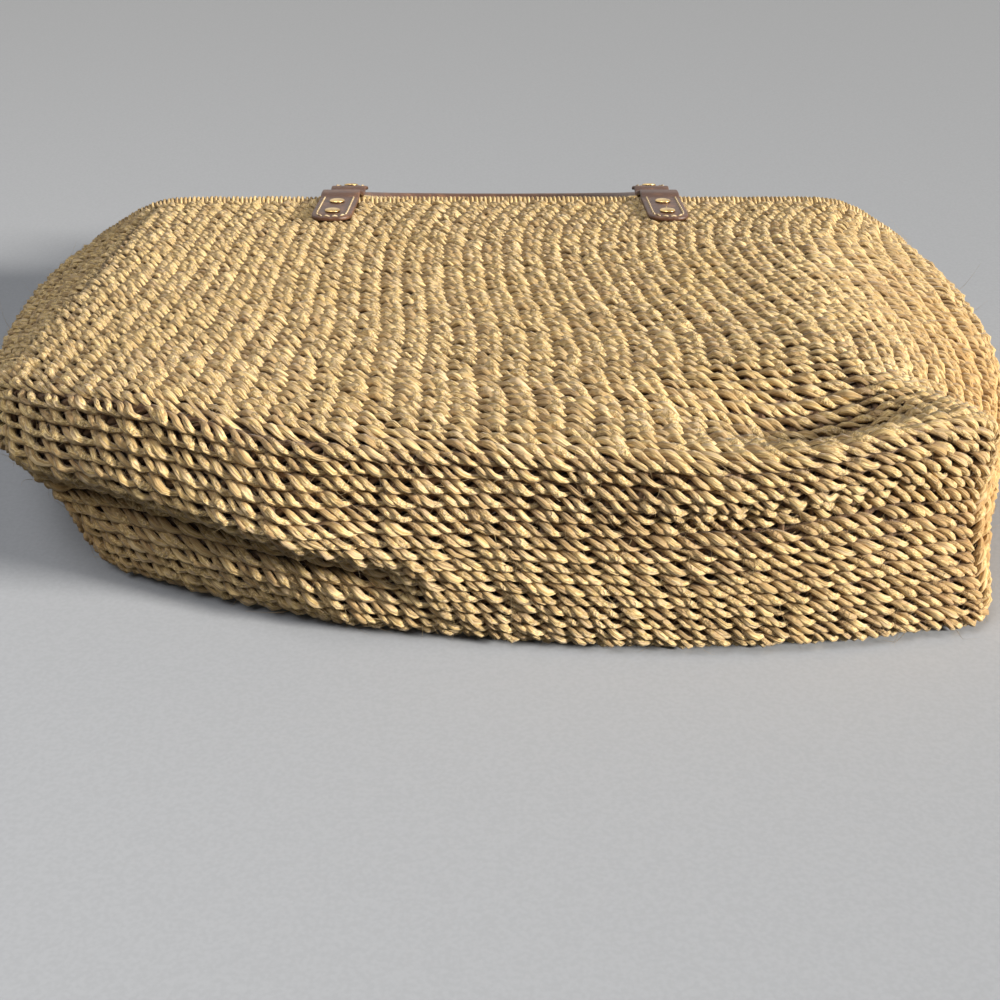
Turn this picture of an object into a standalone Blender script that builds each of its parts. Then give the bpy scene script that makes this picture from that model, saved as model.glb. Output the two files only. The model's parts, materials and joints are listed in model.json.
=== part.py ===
"""Kiondo basket: a twined sisal carrying bag that lies on its back wall.

The base faces -Y, the mouth opens to +Y and the front wall is on top. The wall is a closed
line round the bag, counted in warps, that is carried along the bag in courses. The base is
the patch that this line encloses at the fold. Two rolled leather handles hang from brass
rings in leather chapes that are folded over the rim.
"""
import math

import bmesh
import bpy
import numpy as np
from mathutils import Matrix, Vector

# Weave: spacing of warps and courses, and how many there are
MM = 0.001
WARP_PITCH = 9.4 * MM
COURSE_PITCH = 5.0 * MM
FRONT_WARPS = 32
GUSSET_WARPS = 10
COURSES_PER_LENGTH = 8
WEFT_LENGTHS = 7
WEAVE_THICKNESS = 5.2 * MM
BASE_THICKNESS = 4.0 * MM
GAP = 0.3 * MM

# Lying bag: height over the floor and the rounded folds
LYING_DEPTH = 70.0 * MM
FOLD_RADIUS = 9.0 * MM
RIDGE_ROUNDING_WARPS = 1.0
ROUNDING_PASSES = 2
MOUTH_LIFT = 6.8 * MM
MOUTH_LIFT_SHARES = (0.5, 0.82)

# How far each corner of the base lies back, in the order of the section's corners
CORNER_SETBACKS = (34.0 * MM, 14.0 * MM, 14.0 * MM, 8.0 * MM, 47.0 * MM, 40.0 * MM)
FRONT_DRAWN_OUT = 35.0 * MM
BACK_DRAWN_OUT = 31.0 * MM
FRONT_DRAWN_POWER = 3
BACK_DRAWN_POWER = 2

# Front wall: slack between the ridges, the rises of the fold, and the hollow beside the right
# ridge with its spreads to the left, to the right and up the wall
FRONT_SAG = 4.0 * MM
FOLD_RISES = (7.0 * MM, 9.0 * MM)
FOLD_RISE_SHARES = (-0.73, 0.8)
FOLD_RISE_SPREAD = 34.0 * MM
FOLD_RISE_POWER = 4
HOLLOW_DEPTH = 18.0 * MM
HOLLOW_SHARE = 0.71
HOLLOW_HEIGHT = 28.0 * MM
HOLLOW_SPREADS = (42.0 * MM, 23.0 * MM, 21.0 * MM)
RIDGE_POWER = 8

# Right ridge: how far it jogs in, the warps that it strays to the left and where it comes back
RIDGE_JOG = 10.0 * MM
RIDGE_JOG_HEIGHT = 50.0 * MM
RIDGE_JOG_SPREAD = 22.0 * MM
RIDGE_STRAY_WARPS = 2.5
RIDGE_STRAY_HEIGHT = 50.0 * MM
RIDGE_BACK_SHARES = (0.35, 0.85)

# Left gusset: how far it is pinched in, at how many warps before its middle, and its spreads
PINCH_IN = 9.0 * MM
PINCH_BEFORE_WARPS = 2.0
PINCH_SPREAD_WARPS = 1.8
PINCH_HEIGHT = 45.0 * MM

# Base: how far it stands out at each of some warps, where its crease runs as a share of the
# way from the front fold down to the back one, and how sharp the crease is there
BULGE_WARPS = (0, 3, 6.5, 10, 13, 16, 24, 32)
BULGES = (2.0 * MM, 8.0 * MM, 10.0 * MM, 14.0 * MM, 8.0 * MM, 4.5 * MM, 4.0 * MM, 0.0)
CREASE_LINE_WARPS = (0, 3, 6.5, 10, 13)
CREASE_SHARES = (0.42, 0.44, 0.48, 0.51, 0.55)
SHARP_WARPS = (0, 10, 14)
SHARP_SHARES = (1.0, 1.0, 0.0)
CREASE_ROUNDING_SHARE = 0.12
RECESS_IN = 10.0 * MM
RECESS_SHARES = (0.16, 0.10)
END_FADE_WARPS = (3, 4)

# Shallow groove at the right of the base: its line, and its hills' places beside it and spreads
GROOVE_START_WARPS = (18, 5)
GROOVE_WARPS = (18, 26, 32)
GROOVE_SHARES = (0.36, 0.30, 0.33)
GROOVE_OUT = 3.0 * MM
GROOVE_IN = 2.5 * MM
GROOVE_OUT_SHARES = (-0.10, 0.10)
GROOVE_IN_SHARES = (0.05, 0.09)

# Section of the bag at three places along the wall, as shares of half the length and of the
# lying depth: front left, front right, right side, back right, back left, left side
SECTION_SHARES = (
    (0.0, ((-1.06, 1.09), (1.03, 1.00), (0.99, 0.50), (1.06, 0.0), (-0.93, 0.0), (-1.09, 0.63))),
    (0.42, ((-1.04, 1.00), (0.81, 1.01), (1.31, 0.54), (1.00, 0.0), (-1.00, 0.0), (-1.33, 0.57))),
    (1.0, ((-1.07, 0.84), (1.07, 0.84), (1.33, 0.46), (1.10, 0.0), (-1.10, 0.0), (-1.34, 0.46))),
)

# Rim
RIM_DIAMETER = 8.0 * MM

# Handles, rings and chapes
HANDLE_HALF_SPREAD = 75.0 * MM
HANDLE_STRAIGHT = 62.0 * MM
ROLL_DIAMETER = 9.0 * MM
RING_WIRE = 3.0 * MM
RING_WIDTH = 24.0 * MM
RING_LENGTH = 13.0 * MM
RING_CORNER = 4.0 * MM
CHAPE_WIDTH = 18.0 * MM
CHAPE_LEATHER = 2.2 * MM
CHAPE_LEG = 44.0 * MM
CHAPE_NECK = 10.0 * MM
TAB_WIDTH = 17.0 * MM
TAB_LEATHER = 1.8 * MM
TAB_LENGTH = 27.0 * MM
TAB_NECK = 7.0 * MM
LEATHER_CLEARANCE = 0.5 * MM

# Rivets
RIVET_SHANK = 3.0 * MM
RIVET_HEAD = 7.0 * MM
RIVET_HEAD_HEIGHT = 1.1 * MM
RIVET_FACE_SHARE = 0.75
RIVET_EDGE_SHARE = 0.33
CHAPE_RIVET_DROPS = (13.0 * MM, CHAPE_LEG - 11.0 * MM)
TAB_RIVET_REACH = TAB_LENGTH - 8.0 * MM

# Facets: warps at which those of the base begin, nearest the folds and where it is creased
FOLD_WARPS = (0, 0.7, 1.5, 3)
END_WARPS = (0, 1.5, 2.5)
CREASE_WARPS = (3.2, 6.8)
CREASE_FACETS = 6
FACET_WARPS = 2
INNER_EDGE_GAPS = 10
SMOOTH_ANGLE = math.radians(40)
MERGE_DISTANCE = GAP / 100
HOLE_REACH = 4 * ROLL_DIAMETER

# Numbers of steps in curves
FINE_STEPS = 8
ARC_STEPS = 14
BEND_STEPS = 6
BAND_STEPS = 3
ROUND_STEPS = 12
CORNER_STEPS = 3

# Worked out from the sizes above
HALF_LENGTH = FRONT_WARPS * WARP_PITCH / 2
WARPS_ROUND = 2 * (FRONT_WARPS + GUSSET_WARPS)
WALL_HEIGHT = WEFT_LENGTHS * COURSES_PER_LENGTH * COURSE_PITCH
CORNER_UNITS = np.cumsum([
    0, FRONT_WARPS, GUSSET_WARPS / 2, GUSSET_WARPS / 2, FRONT_WARPS, GUSSET_WARPS / 2,
])
QUARTER = math.pi / 4
FOLD_ARC = FOLD_RADIUS * QUARTER
COLLECTION = "kiondo_basket"

MATERIALS = {
    "sisal": ((0.58, 0.42, 0.20), 0.85, 0.0),
    "leather": ((0.11, 0.045, 0.02), 0.5, 0.0),
    "brass": ((0.72, 0.50, 0.20), 0.3, 1.0),
}


def ease(value):
    """Smooth step from 0 to 1 as the value goes from 0 to 1."""
    held = np.clip(value, 0, 1)
    return held * held * (3 - 2 * held)


def run_through(value, places, levels):
    """Smooth run from level to level as the value goes from place to place."""
    result = np.zeros_like(np.asarray(value, dtype=float)) + levels[0]
    for here, there, low, high in zip(places, places[1:], levels, levels[1:]):
        result = result + (high - low) * ease((value - here) / (there - here))
    return result


def hill(value, centre, spread):
    """Round hill of height 1 at the centre that dies away with the spread."""
    return np.exp(-((value - centre) / spread) ** 2)


def section_corners(share):
    """Corners of the section at a share of the wall's height, on the curve through three stations."""
    places = [station for station, _ in SECTION_SHARES]
    corners = np.zeros((len(CORNER_UNITS), 2))
    for here, (place, shares) in enumerate(SECTION_SHARES):
        weight = 1
        for other, far in enumerate(places):
            if other != here:
                weight *= (share - far) / (place - far)
        corners += weight * np.array(shares)
    corners = corners * (HALF_LENGTH, LYING_DEPTH)
    corners[1, 0] -= RIDGE_JOG * hill(share * WALL_HEIGHT, RIDGE_JOG_HEIGHT, RIDGE_JOG_SPREAD)
    return corners


def recounted(units, height):
    """Warps recounted at a height, so that the right ridge keeps its number where it strays left."""
    start, end = RIDGE_BACK_SHARES
    back = ease((height / WALL_HEIGHT - start) / (end - start))
    ridge = FRONT_WARPS - RIDGE_STRAY_WARPS * ease(height / RIDGE_STRAY_HEIGHT) * (1 - back)
    side = CORNER_UNITS[2]
    return np.interp(units, [0, ridge, side, WARPS_ROUND], [0, FRONT_WARPS, side, WARPS_ROUND])


def rounded(values):
    """Closed line with its corners rounded: each point becomes the mean of its neighbours, twice."""
    reach = round(RIDGE_ROUNDING_WARPS * FINE_STEPS)
    for _ in range(ROUNDING_PASSES):
        shifted = [np.roll(values, step) for step in range(-reach, reach + 1)]
        values = np.mean(shifted, axis=0)
    return values


def wall_line(height):
    """Closed line of the wall's outer face at a height above the fold, one point a fine step."""
    share = height / WALL_HEIGHT
    units = np.arange(WARPS_ROUND * FINE_STEPS) / FINE_STEPS
    knots = np.append(CORNER_UNITS, WARPS_ROUND)
    corners = section_corners(share)
    corners = np.vstack([corners, corners[:1]])
    setbacks = np.append(CORNER_SETBACKS, CORNER_SETBACKS[0])
    counted = recounted(units, height)
    across = np.interp(counted, knots, corners[:, 0])
    up = np.interp(counted, knots, corners[:, 1])
    back = np.interp(units, knots, setbacks)

    front = np.where(units <= FRONT_WARPS, 2 * units / FRONT_WARPS - 1, 1)
    rear = 2 * (units - CORNER_UNITS[3]) / FRONT_WARPS - 1
    rear = np.where(np.abs(rear) <= 1, rear, 1)
    back = back - FRONT_DRAWN_OUT * (1 - np.abs(front) ** FRONT_DRAWN_POWER)
    back = back - BACK_DRAWN_OUT * (1 - np.abs(rear) ** BACK_DRAWN_POWER)

    front = np.where(counted <= FRONT_WARPS, 2 * counted / FRONT_WARPS - 1, 1)
    inside = 1 - np.abs(front) ** RIDGE_POWER
    low = 1 - share
    slack = math.sin(math.pi * share) ** 2
    rises = [
        rise * hill(across, place * HALF_LENGTH, FOLD_RISE_SPREAD)
        for rise, place in zip(FOLD_RISES, FOLD_RISE_SHARES)
    ]
    gentle, steep, tall = HOLLOW_SPREADS
    hollow = HOLLOW_SHARE * HALF_LENGTH
    dent = hill(across, hollow, np.where(across < hollow, gentle, steep))
    dent = HOLLOW_DEPTH * dent * hill(height, HOLLOW_HEIGHT, tall)
    up = up - FRONT_SAG * slack * (1 - front ** 2)
    up = up + inside * (sum(rises) * low ** FOLD_RISE_POWER - dent)
    lift_start, lift_end = MOUTH_LIFT_SHARES
    lift = MOUTH_LIFT * ease((share - lift_start) / (lift_end - lift_start))
    up = up + lift * (1 - up / LYING_DEPTH)
    pinch = hill(units, CORNER_UNITS[5] - PINCH_BEFORE_WARPS, PINCH_SPREAD_WARPS)
    across = across + PINCH_IN * pinch * hill(height, 0, PINCH_HEIGHT)
    across, up, back = rounded(across), rounded(up), rounded(back)

    turn = max(0, QUARTER - height / FOLD_RADIUS)
    inset = FOLD_RADIUS * (1 - math.cos(turn))
    run_across = np.roll(across, -1) - np.roll(across, 1)
    run_up = np.roll(up, -1) - np.roll(up, 1)
    length = np.hypot(run_across, run_up)
    across = across + inset * run_up / length
    up = up - inset * run_across / length
    if turn > 0:
        along = FOLD_RADIUS * (1 - math.sin(turn))
    else:
        along = FOLD_RADIUS + height - FOLD_ARC
    return np.column_stack([across, back * low + along, up])


def wall_points(units, height):
    """Points of the wall's outer face at the given warps and height."""
    line = wall_line(height)
    places = np.mod(np.asarray(units, dtype=float), WARPS_ROUND) * FINE_STEPS
    lower = np.floor(places).astype(int) % len(line)
    part = (places - np.floor(places))[:, None]
    return line[lower] * (1 - part) + line[(lower + 1) % len(line)] * part


def wall_rise(units, height):
    """Directions up the wall, square to the courses, at the given warps and height."""
    step = COURSE_PITCH / FINE_STEPS
    rise = wall_points(units, height + step) - wall_points(units, height - step)
    return rise / np.linalg.norm(rise, axis=1)[:, None]


def wall_normals(units, height):
    """Outward directions of the wall at the given warps and height."""
    units = np.asarray(units, dtype=float)
    step = 1 / FINE_STEPS
    round_bag = wall_points(units + step, height) - wall_points(units - step, height)
    normal = np.cross(round_bag, wall_rise(units, height))
    return normal / np.linalg.norm(normal, axis=1)[:, None]


def fold_points(units, toward):
    """Points of the fold, half a gap towards the wall (1) or towards the base (-1)."""
    return wall_points(units, 0) + toward * GAP / 2 * wall_rise(units, 0)


def fold_inner(units):
    """Inner edge of the base along the fold, drawn a little further from the wall than its outer edge."""
    return fold_points(units, -INNER_EDGE_GAPS) - BASE_THICKNESS * wall_normals(units, 0)


def base_warps():
    """Warps at which the facets of the base and of the walls beside it begin."""
    near = np.array(FOLD_WARPS)
    inner = np.arange(near[-1] + FACET_WARPS, FRONT_WARPS - near[-1], FACET_WARPS)
    return np.concatenate([near, inner, FRONT_WARPS - near[::-1]])


def gusset_warps():
    """The same for the two ends of the base, closest where the base is creased."""
    near = np.array(END_WARPS)
    return np.concatenate([near, np.linspace(*CREASE_WARPS, CREASE_FACETS + 1), GUSSET_WARPS - near[::-1]])


def ring_units():
    """Corners of the wall's facets, in warps round the bag, in step with the base's."""
    warps = base_warps()
    sides = gusset_warps()
    return np.concatenate([
        warps[:-1], CORNER_UNITS[1] + sides[:-1],
        (CORNER_UNITS[4] - warps[::-1])[:-1], (WARPS_ROUND - sides[::-1])[:-1],
    ])


def mesh_object(name, points, faces, material):
    """Object in the bag's collection from points and faces, with its faces turned outward."""
    mesh = bpy.data.meshes.new(name)
    mesh.from_pydata([tuple(point) for point in points], [], faces)
    work = bmesh.new()
    work.from_mesh(mesh)
    bmesh.ops.recalc_face_normals(work, faces=work.faces)
    work.to_mesh(mesh)
    work.free()
    mesh.shade_smooth()
    mesh.set_sharp_from_angle(angle=SMOOTH_ANGLE)
    return link_object(name, mesh, material)


def link_object(name, data, material, collection=COLLECTION):
    """Object that holds the data, linked to the named collection and given its material."""
    thing = bpy.data.objects.new(name, data)
    bpy.data.collections[collection].objects.link(thing)
    if material:
        data.materials.append(bpy.data.materials[material])
    return thing


def edge_faces(low, high, inner):
    """Two triangles between an outer edge and the inner one behind it, always cut the same way."""
    return [(low, high, high + inner), (low, high + inner, low + inner)]


def shell(name, outer, inner, rows, closed, material):
    """Solid between two like grids of points, whose rows may close on themselves.

    The points run round the bag, and the edges that the base shares with the wall are cut
    into the same triangles on both.
    """
    count = len(outer)
    across = count // rows
    faces = []
    spans = across if closed else across - 1
    for row in range(rows - 1):
        for column in range(spans):
            a = row * across + column
            b = row * across + (column + 1) % across
            faces.append((a, b, b + across, a + across))
            faces.append((a + count, a + across + count, b + across + count, b + count))
    last = (rows - 1) * across
    for column in range(spans):
        following = (column + 1) % across
        faces += edge_faces(column, following, count)
        if closed:
            faces += edge_faces(last + column, last + following, count)
        else:
            faces += edge_faces(last + following, last + column, count)
    if not closed:
        for row in range(rows - 1):
            a = row * across
            faces += edge_faces(a + across, a, count)
            faces += edge_faces(a + across - 1, a + 2 * across - 1, count)
    return mesh_object(name, np.vstack([outer, inner]), faces, material)


def wall_band(name, start, end):
    """The courses twined from one working length of weft, between two heights of the wall."""
    heights = list(np.linspace(start, end, BAND_STEPS + 1))
    units = ring_units()
    outer = [wall_points(units, height) for height in heights]
    if start < FOLD_ARC:
        heights[:1] = [0, FOLD_ARC / 2, FOLD_ARC]
        outer[:1] = [fold_points(units, 1)] + [wall_points(units, height) for height in heights[1:3]]
    depths = np.interp(heights, [0, FOLD_ARC], [BASE_THICKNESS, WEAVE_THICKNESS])
    inner = [
        points - depth * wall_normals(units, height)
        for points, height, depth in zip(outer, heights, depths)
    ]
    return shell(name, np.vstack(outer), np.vstack(inner), len(heights), True, "sisal")


def base_displacement(warp, course):
    """How far a point of the base stands out of the plain patch between the folds.

    The warp runs from the left end to the right and the course share from the front fold
    down to the back fold.
    """
    crease = run_through(warp, CREASE_LINE_WARPS, CREASE_SHARES)
    sharp = run_through(warp, SHARP_WARPS, SHARP_SHARES)
    span = np.where(course < crease, crease, 1 - crease)
    away = (course - crease) / span
    roof = 1 + CREASE_ROUNDING_SHARE - np.hypot(away, CREASE_ROUNDING_SHARE)
    out = run_through(warp, BULGE_WARPS, BULGES)
    out = out * (sharp * roof + (1 - sharp) * np.sin(math.pi * course))

    left_fade, right_fade = END_FADE_WARPS
    ends = ease(warp / left_fade) * ease((FRONT_WARPS - warp) / right_fade)
    out = out - RECESS_IN * ends * sharp * hill(course - crease, *RECESS_SHARES)
    start, fade = GROOVE_START_WARPS
    right = ends * ease((warp - start) / fade)
    beside = course - run_through(warp, GROOVE_WARPS, GROOVE_SHARES)
    out = out + GROOVE_OUT * right * hill(beside, *GROOVE_OUT_SHARES)
    return out - GROOVE_IN * right * hill(beside, *GROOVE_IN_SHARES)


def base_weave():
    """The base: the patch that the fold encloses, drawn out into its bulge and creases."""
    warps = base_warps()
    sides = gusset_warps()
    share = (warps / FRONT_WARPS)[None, :, None]
    course = (sides / GUSSET_WARPS)[:, None, None]

    def patch(of):
        """Blend of the four edges that the wall gives."""
        front = of(warps)[None]
        back = of(CORNER_UNITS[4] - warps)[None]
        left = of(WARPS_ROUND - sides)[:, None]
        right = of(FRONT_WARPS + sides)[:, None]
        mix = (1 - course) * front + course * back + (1 - share) * left + share * right
        corners = (1 - course) * ((1 - share) * front[:, :1] + share * front[:, -1:])
        corners = corners + course * ((1 - share) * back[:, :1] + share * back[:, -1:])
        return mix - corners

    grid = patch(lambda units: fold_points(units, -1))
    out = base_displacement(warps[None, :], (sides / GUSSET_WARPS)[:, None])
    edge = np.minimum(
        np.minimum(warps, FRONT_WARPS - warps)[None, :] * WARP_PITCH,
        np.minimum(sides, GUSSET_WARPS - sides)[:, None] * WARP_PITCH,
    )
    turn = np.clip(QUARTER - edge / FOLD_RADIUS, 0, QUARTER)
    out = out + FOLD_RADIUS * (np.cos(turn) - math.cos(QUARTER))
    grid[..., 1] -= out

    along = np.gradient(grid, warps, axis=1)
    down = np.gradient(grid, sides, axis=0)
    normal = np.cross(down, along)
    normal = normal / np.linalg.norm(normal, axis=2)[..., None]
    inner = grid - BASE_THICKNESS * normal
    inner[0], inner[-1] = fold_inner(warps), fold_inner(CORNER_UNITS[4] - warps)
    inner[:, 0], inner[:, -1] = fold_inner(WARPS_ROUND - sides), fold_inner(FRONT_WARPS + sides)
    return shell("base_weave", grid.reshape(-1, 3), inner.reshape(-1, 3), len(sides), False, "sisal")


def wall_at(front, across, height):
    """Point of the outer face of the front or back wall at a distance across the bag."""
    line = wall_line(height)
    if front:
        span = line[: FRONT_WARPS * FINE_STEPS]
    else:
        first = round(CORNER_UNITS[3]) * FINE_STEPS
        span = line[first: first + FRONT_WARPS * FINE_STEPS][::-1]
    along = np.interp(across, span[:, 0], span[:, 1])
    up = np.interp(across, span[:, 0], span[:, 2])
    return Vector((across, along, up))


def tube(name, points, diameter, material, closed=False):
    """Tube along a line of points, as a curve with a round bevel."""
    data = bpy.data.curves.new(name, "CURVE")
    data.dimensions = "3D"
    data.bevel_depth = diameter / 2
    data.bevel_resolution = 2
    data.use_fill_caps = not closed
    spline = data.splines.new("POLY")
    spline.points.add(len(points) - 1)
    for point, place in zip(spline.points, points):
        point.co = (*place, 1)
    spline.use_cyclic_u = closed
    return link_object(name, data, material)


def as_mesh(thing):
    """Mesh object in place of a curve object, with its loose caps joined on."""
    depsgraph = bpy.context.evaluated_depsgraph_get()
    mesh = bpy.data.meshes.new_from_object(thing.evaluated_get(depsgraph))
    work = bmesh.new()
    work.from_mesh(mesh)
    bmesh.ops.remove_doubles(work, verts=work.verts, dist=MERGE_DISTANCE)
    work.to_mesh(mesh)
    work.free()
    name, place, parent = thing.name, thing.matrix_world.copy(), thing.parent
    bpy.data.objects.remove(thing)
    solid = bpy.data.objects.new(name, mesh)
    bpy.data.collections[COLLECTION].objects.link(solid)
    solid.parent = parent
    solid.matrix_world = place
    return solid


def folded_strip(name, width, outline, place):
    """Leather strip folded over a bar: the outline of its edge, as wide as the strip."""
    data = bpy.data.curves.new(name, "CURVE")
    data.dimensions = "2D"
    data.fill_mode = "BOTH"
    data.extrude = width / 2
    spline = data.splines.new("POLY")
    spline.points.add(len(outline) - 1)
    for point, (along, off) in zip(spline.points, outline):
        point.co = (along, off, 0, 1)
    spline.use_cyclic_u = True
    strip = link_object(name, data, "leather")
    strip.matrix_world = place
    return as_mesh(strip)


def strip_outline(leather, bar, line):
    """Edge of a strip that goes out along a line of (distance, offset) points, round a bar and back.

    The line gives the middle of the strip on one side, ending before the bar, whose fold
    is a half circle round (bar, 0).
    """
    fold = RING_WIRE / 2 + GAP + leather / 2
    turns = [math.pi / 2 * (1 - 2 * step / BEND_STEPS) for step in range(BEND_STEPS + 1)]
    middle = list(line)
    middle += [(bar + fold * math.cos(turn), fold * math.sin(turn)) for turn in turns]
    middle += [(along, -off) for along, off in reversed(line)]
    middle = np.array(middle)
    run = np.gradient(middle, axis=0)
    run[0] = middle[1] - middle[0]
    run[-1] = middle[-1] - middle[-2]
    run /= np.linalg.norm(run, axis=1)[:, None]
    side = np.column_stack([-run[:, 1], run[:, 0]]) * leather / 2
    return np.vstack([middle + side, (middle - side)[::-1]])


def rivet_mesh(name, half_grip):
    """Mesh of a rivet: two low heads on a shank, turned about the z axis."""
    under = half_grip + GAP
    top = under + RIVET_HEAD_HEIGHT
    head = RIVET_HEAD / 2
    shank = RIVET_SHANK / 2
    edge = under + RIVET_EDGE_SHARE * RIVET_HEAD_HEIGHT
    half = [(0, top), (RIVET_FACE_SHARE * head, top), (head, edge), (head, under), (shank, under)]
    profile = half + [(radius, -height) for radius, height in reversed(half)]
    mesh = bpy.data.meshes.new(name)
    edges = [(step, step + 1) for step in range(len(profile) - 1)]
    mesh.from_pydata([(radius, 0, height) for radius, height in profile], edges, [])
    guide = link_object(name, mesh, "", "cutters")
    screw = guide.modifiers.new("turn", "SCREW")
    screw.steps = ROUND_STEPS
    screw.render_steps = ROUND_STEPS
    screw.use_merge_vertices = True
    screw.merge_threshold = MERGE_DISTANCE
    depsgraph = bpy.context.evaluated_depsgraph_get()
    turned = bpy.data.meshes.new_from_object(guide.evaluated_get(depsgraph))
    bpy.data.objects.remove(guide)
    return turned


def rivet(name, half_grip, place, parent=None):
    """Rivet that grips leather on both sides of a place, its axis along the place's z axis."""
    mesh = rivet_mesh(name, half_grip)
    work = bmesh.new()
    work.from_mesh(mesh)
    bmesh.ops.recalc_face_normals(work, faces=work.faces)
    work.to_mesh(mesh)
    work.free()
    mesh.shade_smooth()
    mesh.set_sharp_from_angle(angle=SMOOTH_ANGLE)
    thing = link_object(name, mesh, "brass")
    thing.matrix_world = place
    if parent:
        keep_place(thing, parent)


def cut_holes(thing, name, places):
    """Round holes for rivet shanks through a piece, along the z axes of the places."""
    work = bmesh.new()
    for place in places:
        bmesh.ops.create_cone(
            work, cap_ends=True, segments=ROUND_STEPS, radius1=RIVET_SHANK / 2 + GAP,
            radius2=RIVET_SHANK / 2 + GAP, depth=HOLE_REACH, matrix=place,
        )
    mesh = bpy.data.meshes.new(name)
    work.to_mesh(mesh)
    work.free()
    cutter = link_object(name, mesh, "", "cutters")
    cutter.hide_render = True
    cutter.display_type = "WIRE"
    cut = thing.modifiers.new(name, "BOOLEAN")
    cut.operation = "DIFFERENCE"
    cut.object = cutter


def frame_matrix(origin, along, off):
    """Placement whose x axis runs along a direction and whose y axis runs off it."""
    across = along.cross(off)
    matrix = Matrix((along, off, across)).transposed().to_4x4()
    matrix.translation = origin
    return matrix


def upright(place, along):
    """Rivet's placement in a strip's frame: at a distance along it, its axis through the strip."""
    shift = Matrix.Translation((along, 0, 0))
    return place @ shift @ Matrix.Rotation(-math.pi / 2, 4, "X")


def chapes(side, front, wall_top):
    """The two chapes of one wall with their rivets; returns the middle of the rings' axis."""
    leg = WEAVE_THICKNESS / 2 + LEATHER_CLEARANCE + CHAPE_LEATHER / 2
    rim = RIM_DIAMETER / 2 + LEATHER_CLEARANCE + CHAPE_LEATHER / 2
    rim_middle = CHAPE_LEG + GAP + RIM_DIAMETER / 2
    bar = rim_middle + RIM_DIAMETER / 2 + CHAPE_NECK
    line = [
        (0, leg), (CHAPE_LEG - RIM_DIAMETER / 2, leg), (rim_middle - RIM_DIAMETER / 4, rim),
        (rim_middle + RIM_DIAMETER / 4, rim),
    ]
    outline = strip_outline(CHAPE_LEATHER, bar, line)
    hands = (("left", -HANDLE_HALF_SPREAD), ("right", HANDLE_HALF_SPREAD))
    foot, head = (
        sum((wall_at(front, across, height) for _, across in hands), Vector()) / len(hands)
        for height in (WALL_HEIGHT - CHAPE_LEG, WALL_HEIGHT)
    )
    along = (head - foot).normalized()
    off = Vector((1, 0, 0)).cross(along) if front else along.cross(Vector((1, 0, 0)))
    origin = head - along * CHAPE_LEG - off * WEAVE_THICKNESS / 2
    for hand, across in hands:
        place = frame_matrix(origin + Vector((across, 0, 0)), along, off)
        name = f"{side}_chape_{hand}"
        chape = folded_strip(name, CHAPE_WIDTH, outline, place)
        holes = [upright(place, CHAPE_LEG - drop) for drop in CHAPE_RIVET_DROPS]
        cut_holes(chape, f"{name}_holes", holes)
        cut_holes(wall_top, f"{name}_wall_holes", holes)
        for row, hole in zip(("upper", "lower"), holes):
            rivet(f"{name}_rivet_{row}", leg + CHAPE_LEATHER / 2, hole)
    return origin + along * bar


def handle(side, axis, apex_height):
    """One handle: rings on the chapes' axis, tabs on the rings and the roll between the tabs."""
    reach = RING_LENGTH + HANDLE_STRAIGHT + HANDLE_HALF_SPREAD
    slope = math.asin((axis.z - apex_height) / reach)
    along = Vector((0, math.cos(slope), -math.sin(slope)))
    off = Vector((1, 0, 0)).cross(along)
    ring_pivot = pivot(f"{side}_ring_axis", axis, slope)
    handle_pivot = pivot(f"{side}_handle_axis", axis + along * RING_LENGTH, slope)

    half_width = RING_WIDTH / 2
    for hand, across in (("left", -HANDLE_HALF_SPREAD), ("right", HANDLE_HALF_SPREAD)):
        outline = []
        for corner, (sign, end) in enumerate(((1, 1), (-1, 1), (-1, 0), (1, 0))):
            centre_x = sign * (half_width - RING_CORNER)
            centre_y = end * RING_LENGTH + (RING_CORNER if end == 0 else -RING_CORNER)
            for step in range(CORNER_STEPS + 1):
                turn = math.pi / 2 * (corner + step / CORNER_STEPS)
                outline.append((
                    across + centre_x + RING_CORNER * math.cos(turn),
                    centre_y + RING_CORNER * math.sin(turn), 0,
                ))
        ring = tube(f"{side}_ring_{hand}", outline, RING_WIRE, "brass", closed=True)
        ring.parent = ring_pivot

    legs = ROLL_DIAMETER / 2 + GAP + TAB_LEATHER / 2
    strip = [(-TAB_LENGTH, legs), (-TAB_NECK, legs)]
    outline = strip_outline(TAB_LEATHER, 0, strip)
    holes = []
    for hand, across in (("left", -HANDLE_HALF_SPREAD), ("right", HANDLE_HALF_SPREAD)):
        place = frame_matrix(handle_pivot.location + Vector((across, 0, 0)), -along, off)
        name = f"{side}_tab_{hand}"
        tab = folded_strip(name, TAB_WIDTH, outline, place)
        hole = upright(place, -TAB_RIVET_REACH)
        cut_holes(tab, f"{name}_hole", [hole])
        holes.append(hole)
        keep_place(tab, handle_pivot)
        rivet(f"{name}_rivet", legs + TAB_LEATHER / 2, hole, handle_pivot)

    line = [(-HANDLE_HALF_SPREAD, TAB_NECK + GAP, 0), (-HANDLE_HALF_SPREAD, TAB_LENGTH, 0)]
    for step in range(ARC_STEPS + 1):
        turn = math.pi * (1 - step / ARC_STEPS)
        line.append((
            HANDLE_HALF_SPREAD * math.cos(turn),
            HANDLE_STRAIGHT + HANDLE_HALF_SPREAD * math.sin(turn), 0,
        ))
    line += [(-x, y, z) for x, y, z in reversed(line[:2])]
    roll = tube(f"{side}_handle_roll", line, ROLL_DIAMETER, "leather")
    roll.parent = handle_pivot
    bpy.context.view_layer.update()
    roll = as_mesh(roll)
    cut_holes(roll, f"{side}_roll_holes", holes)


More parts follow.
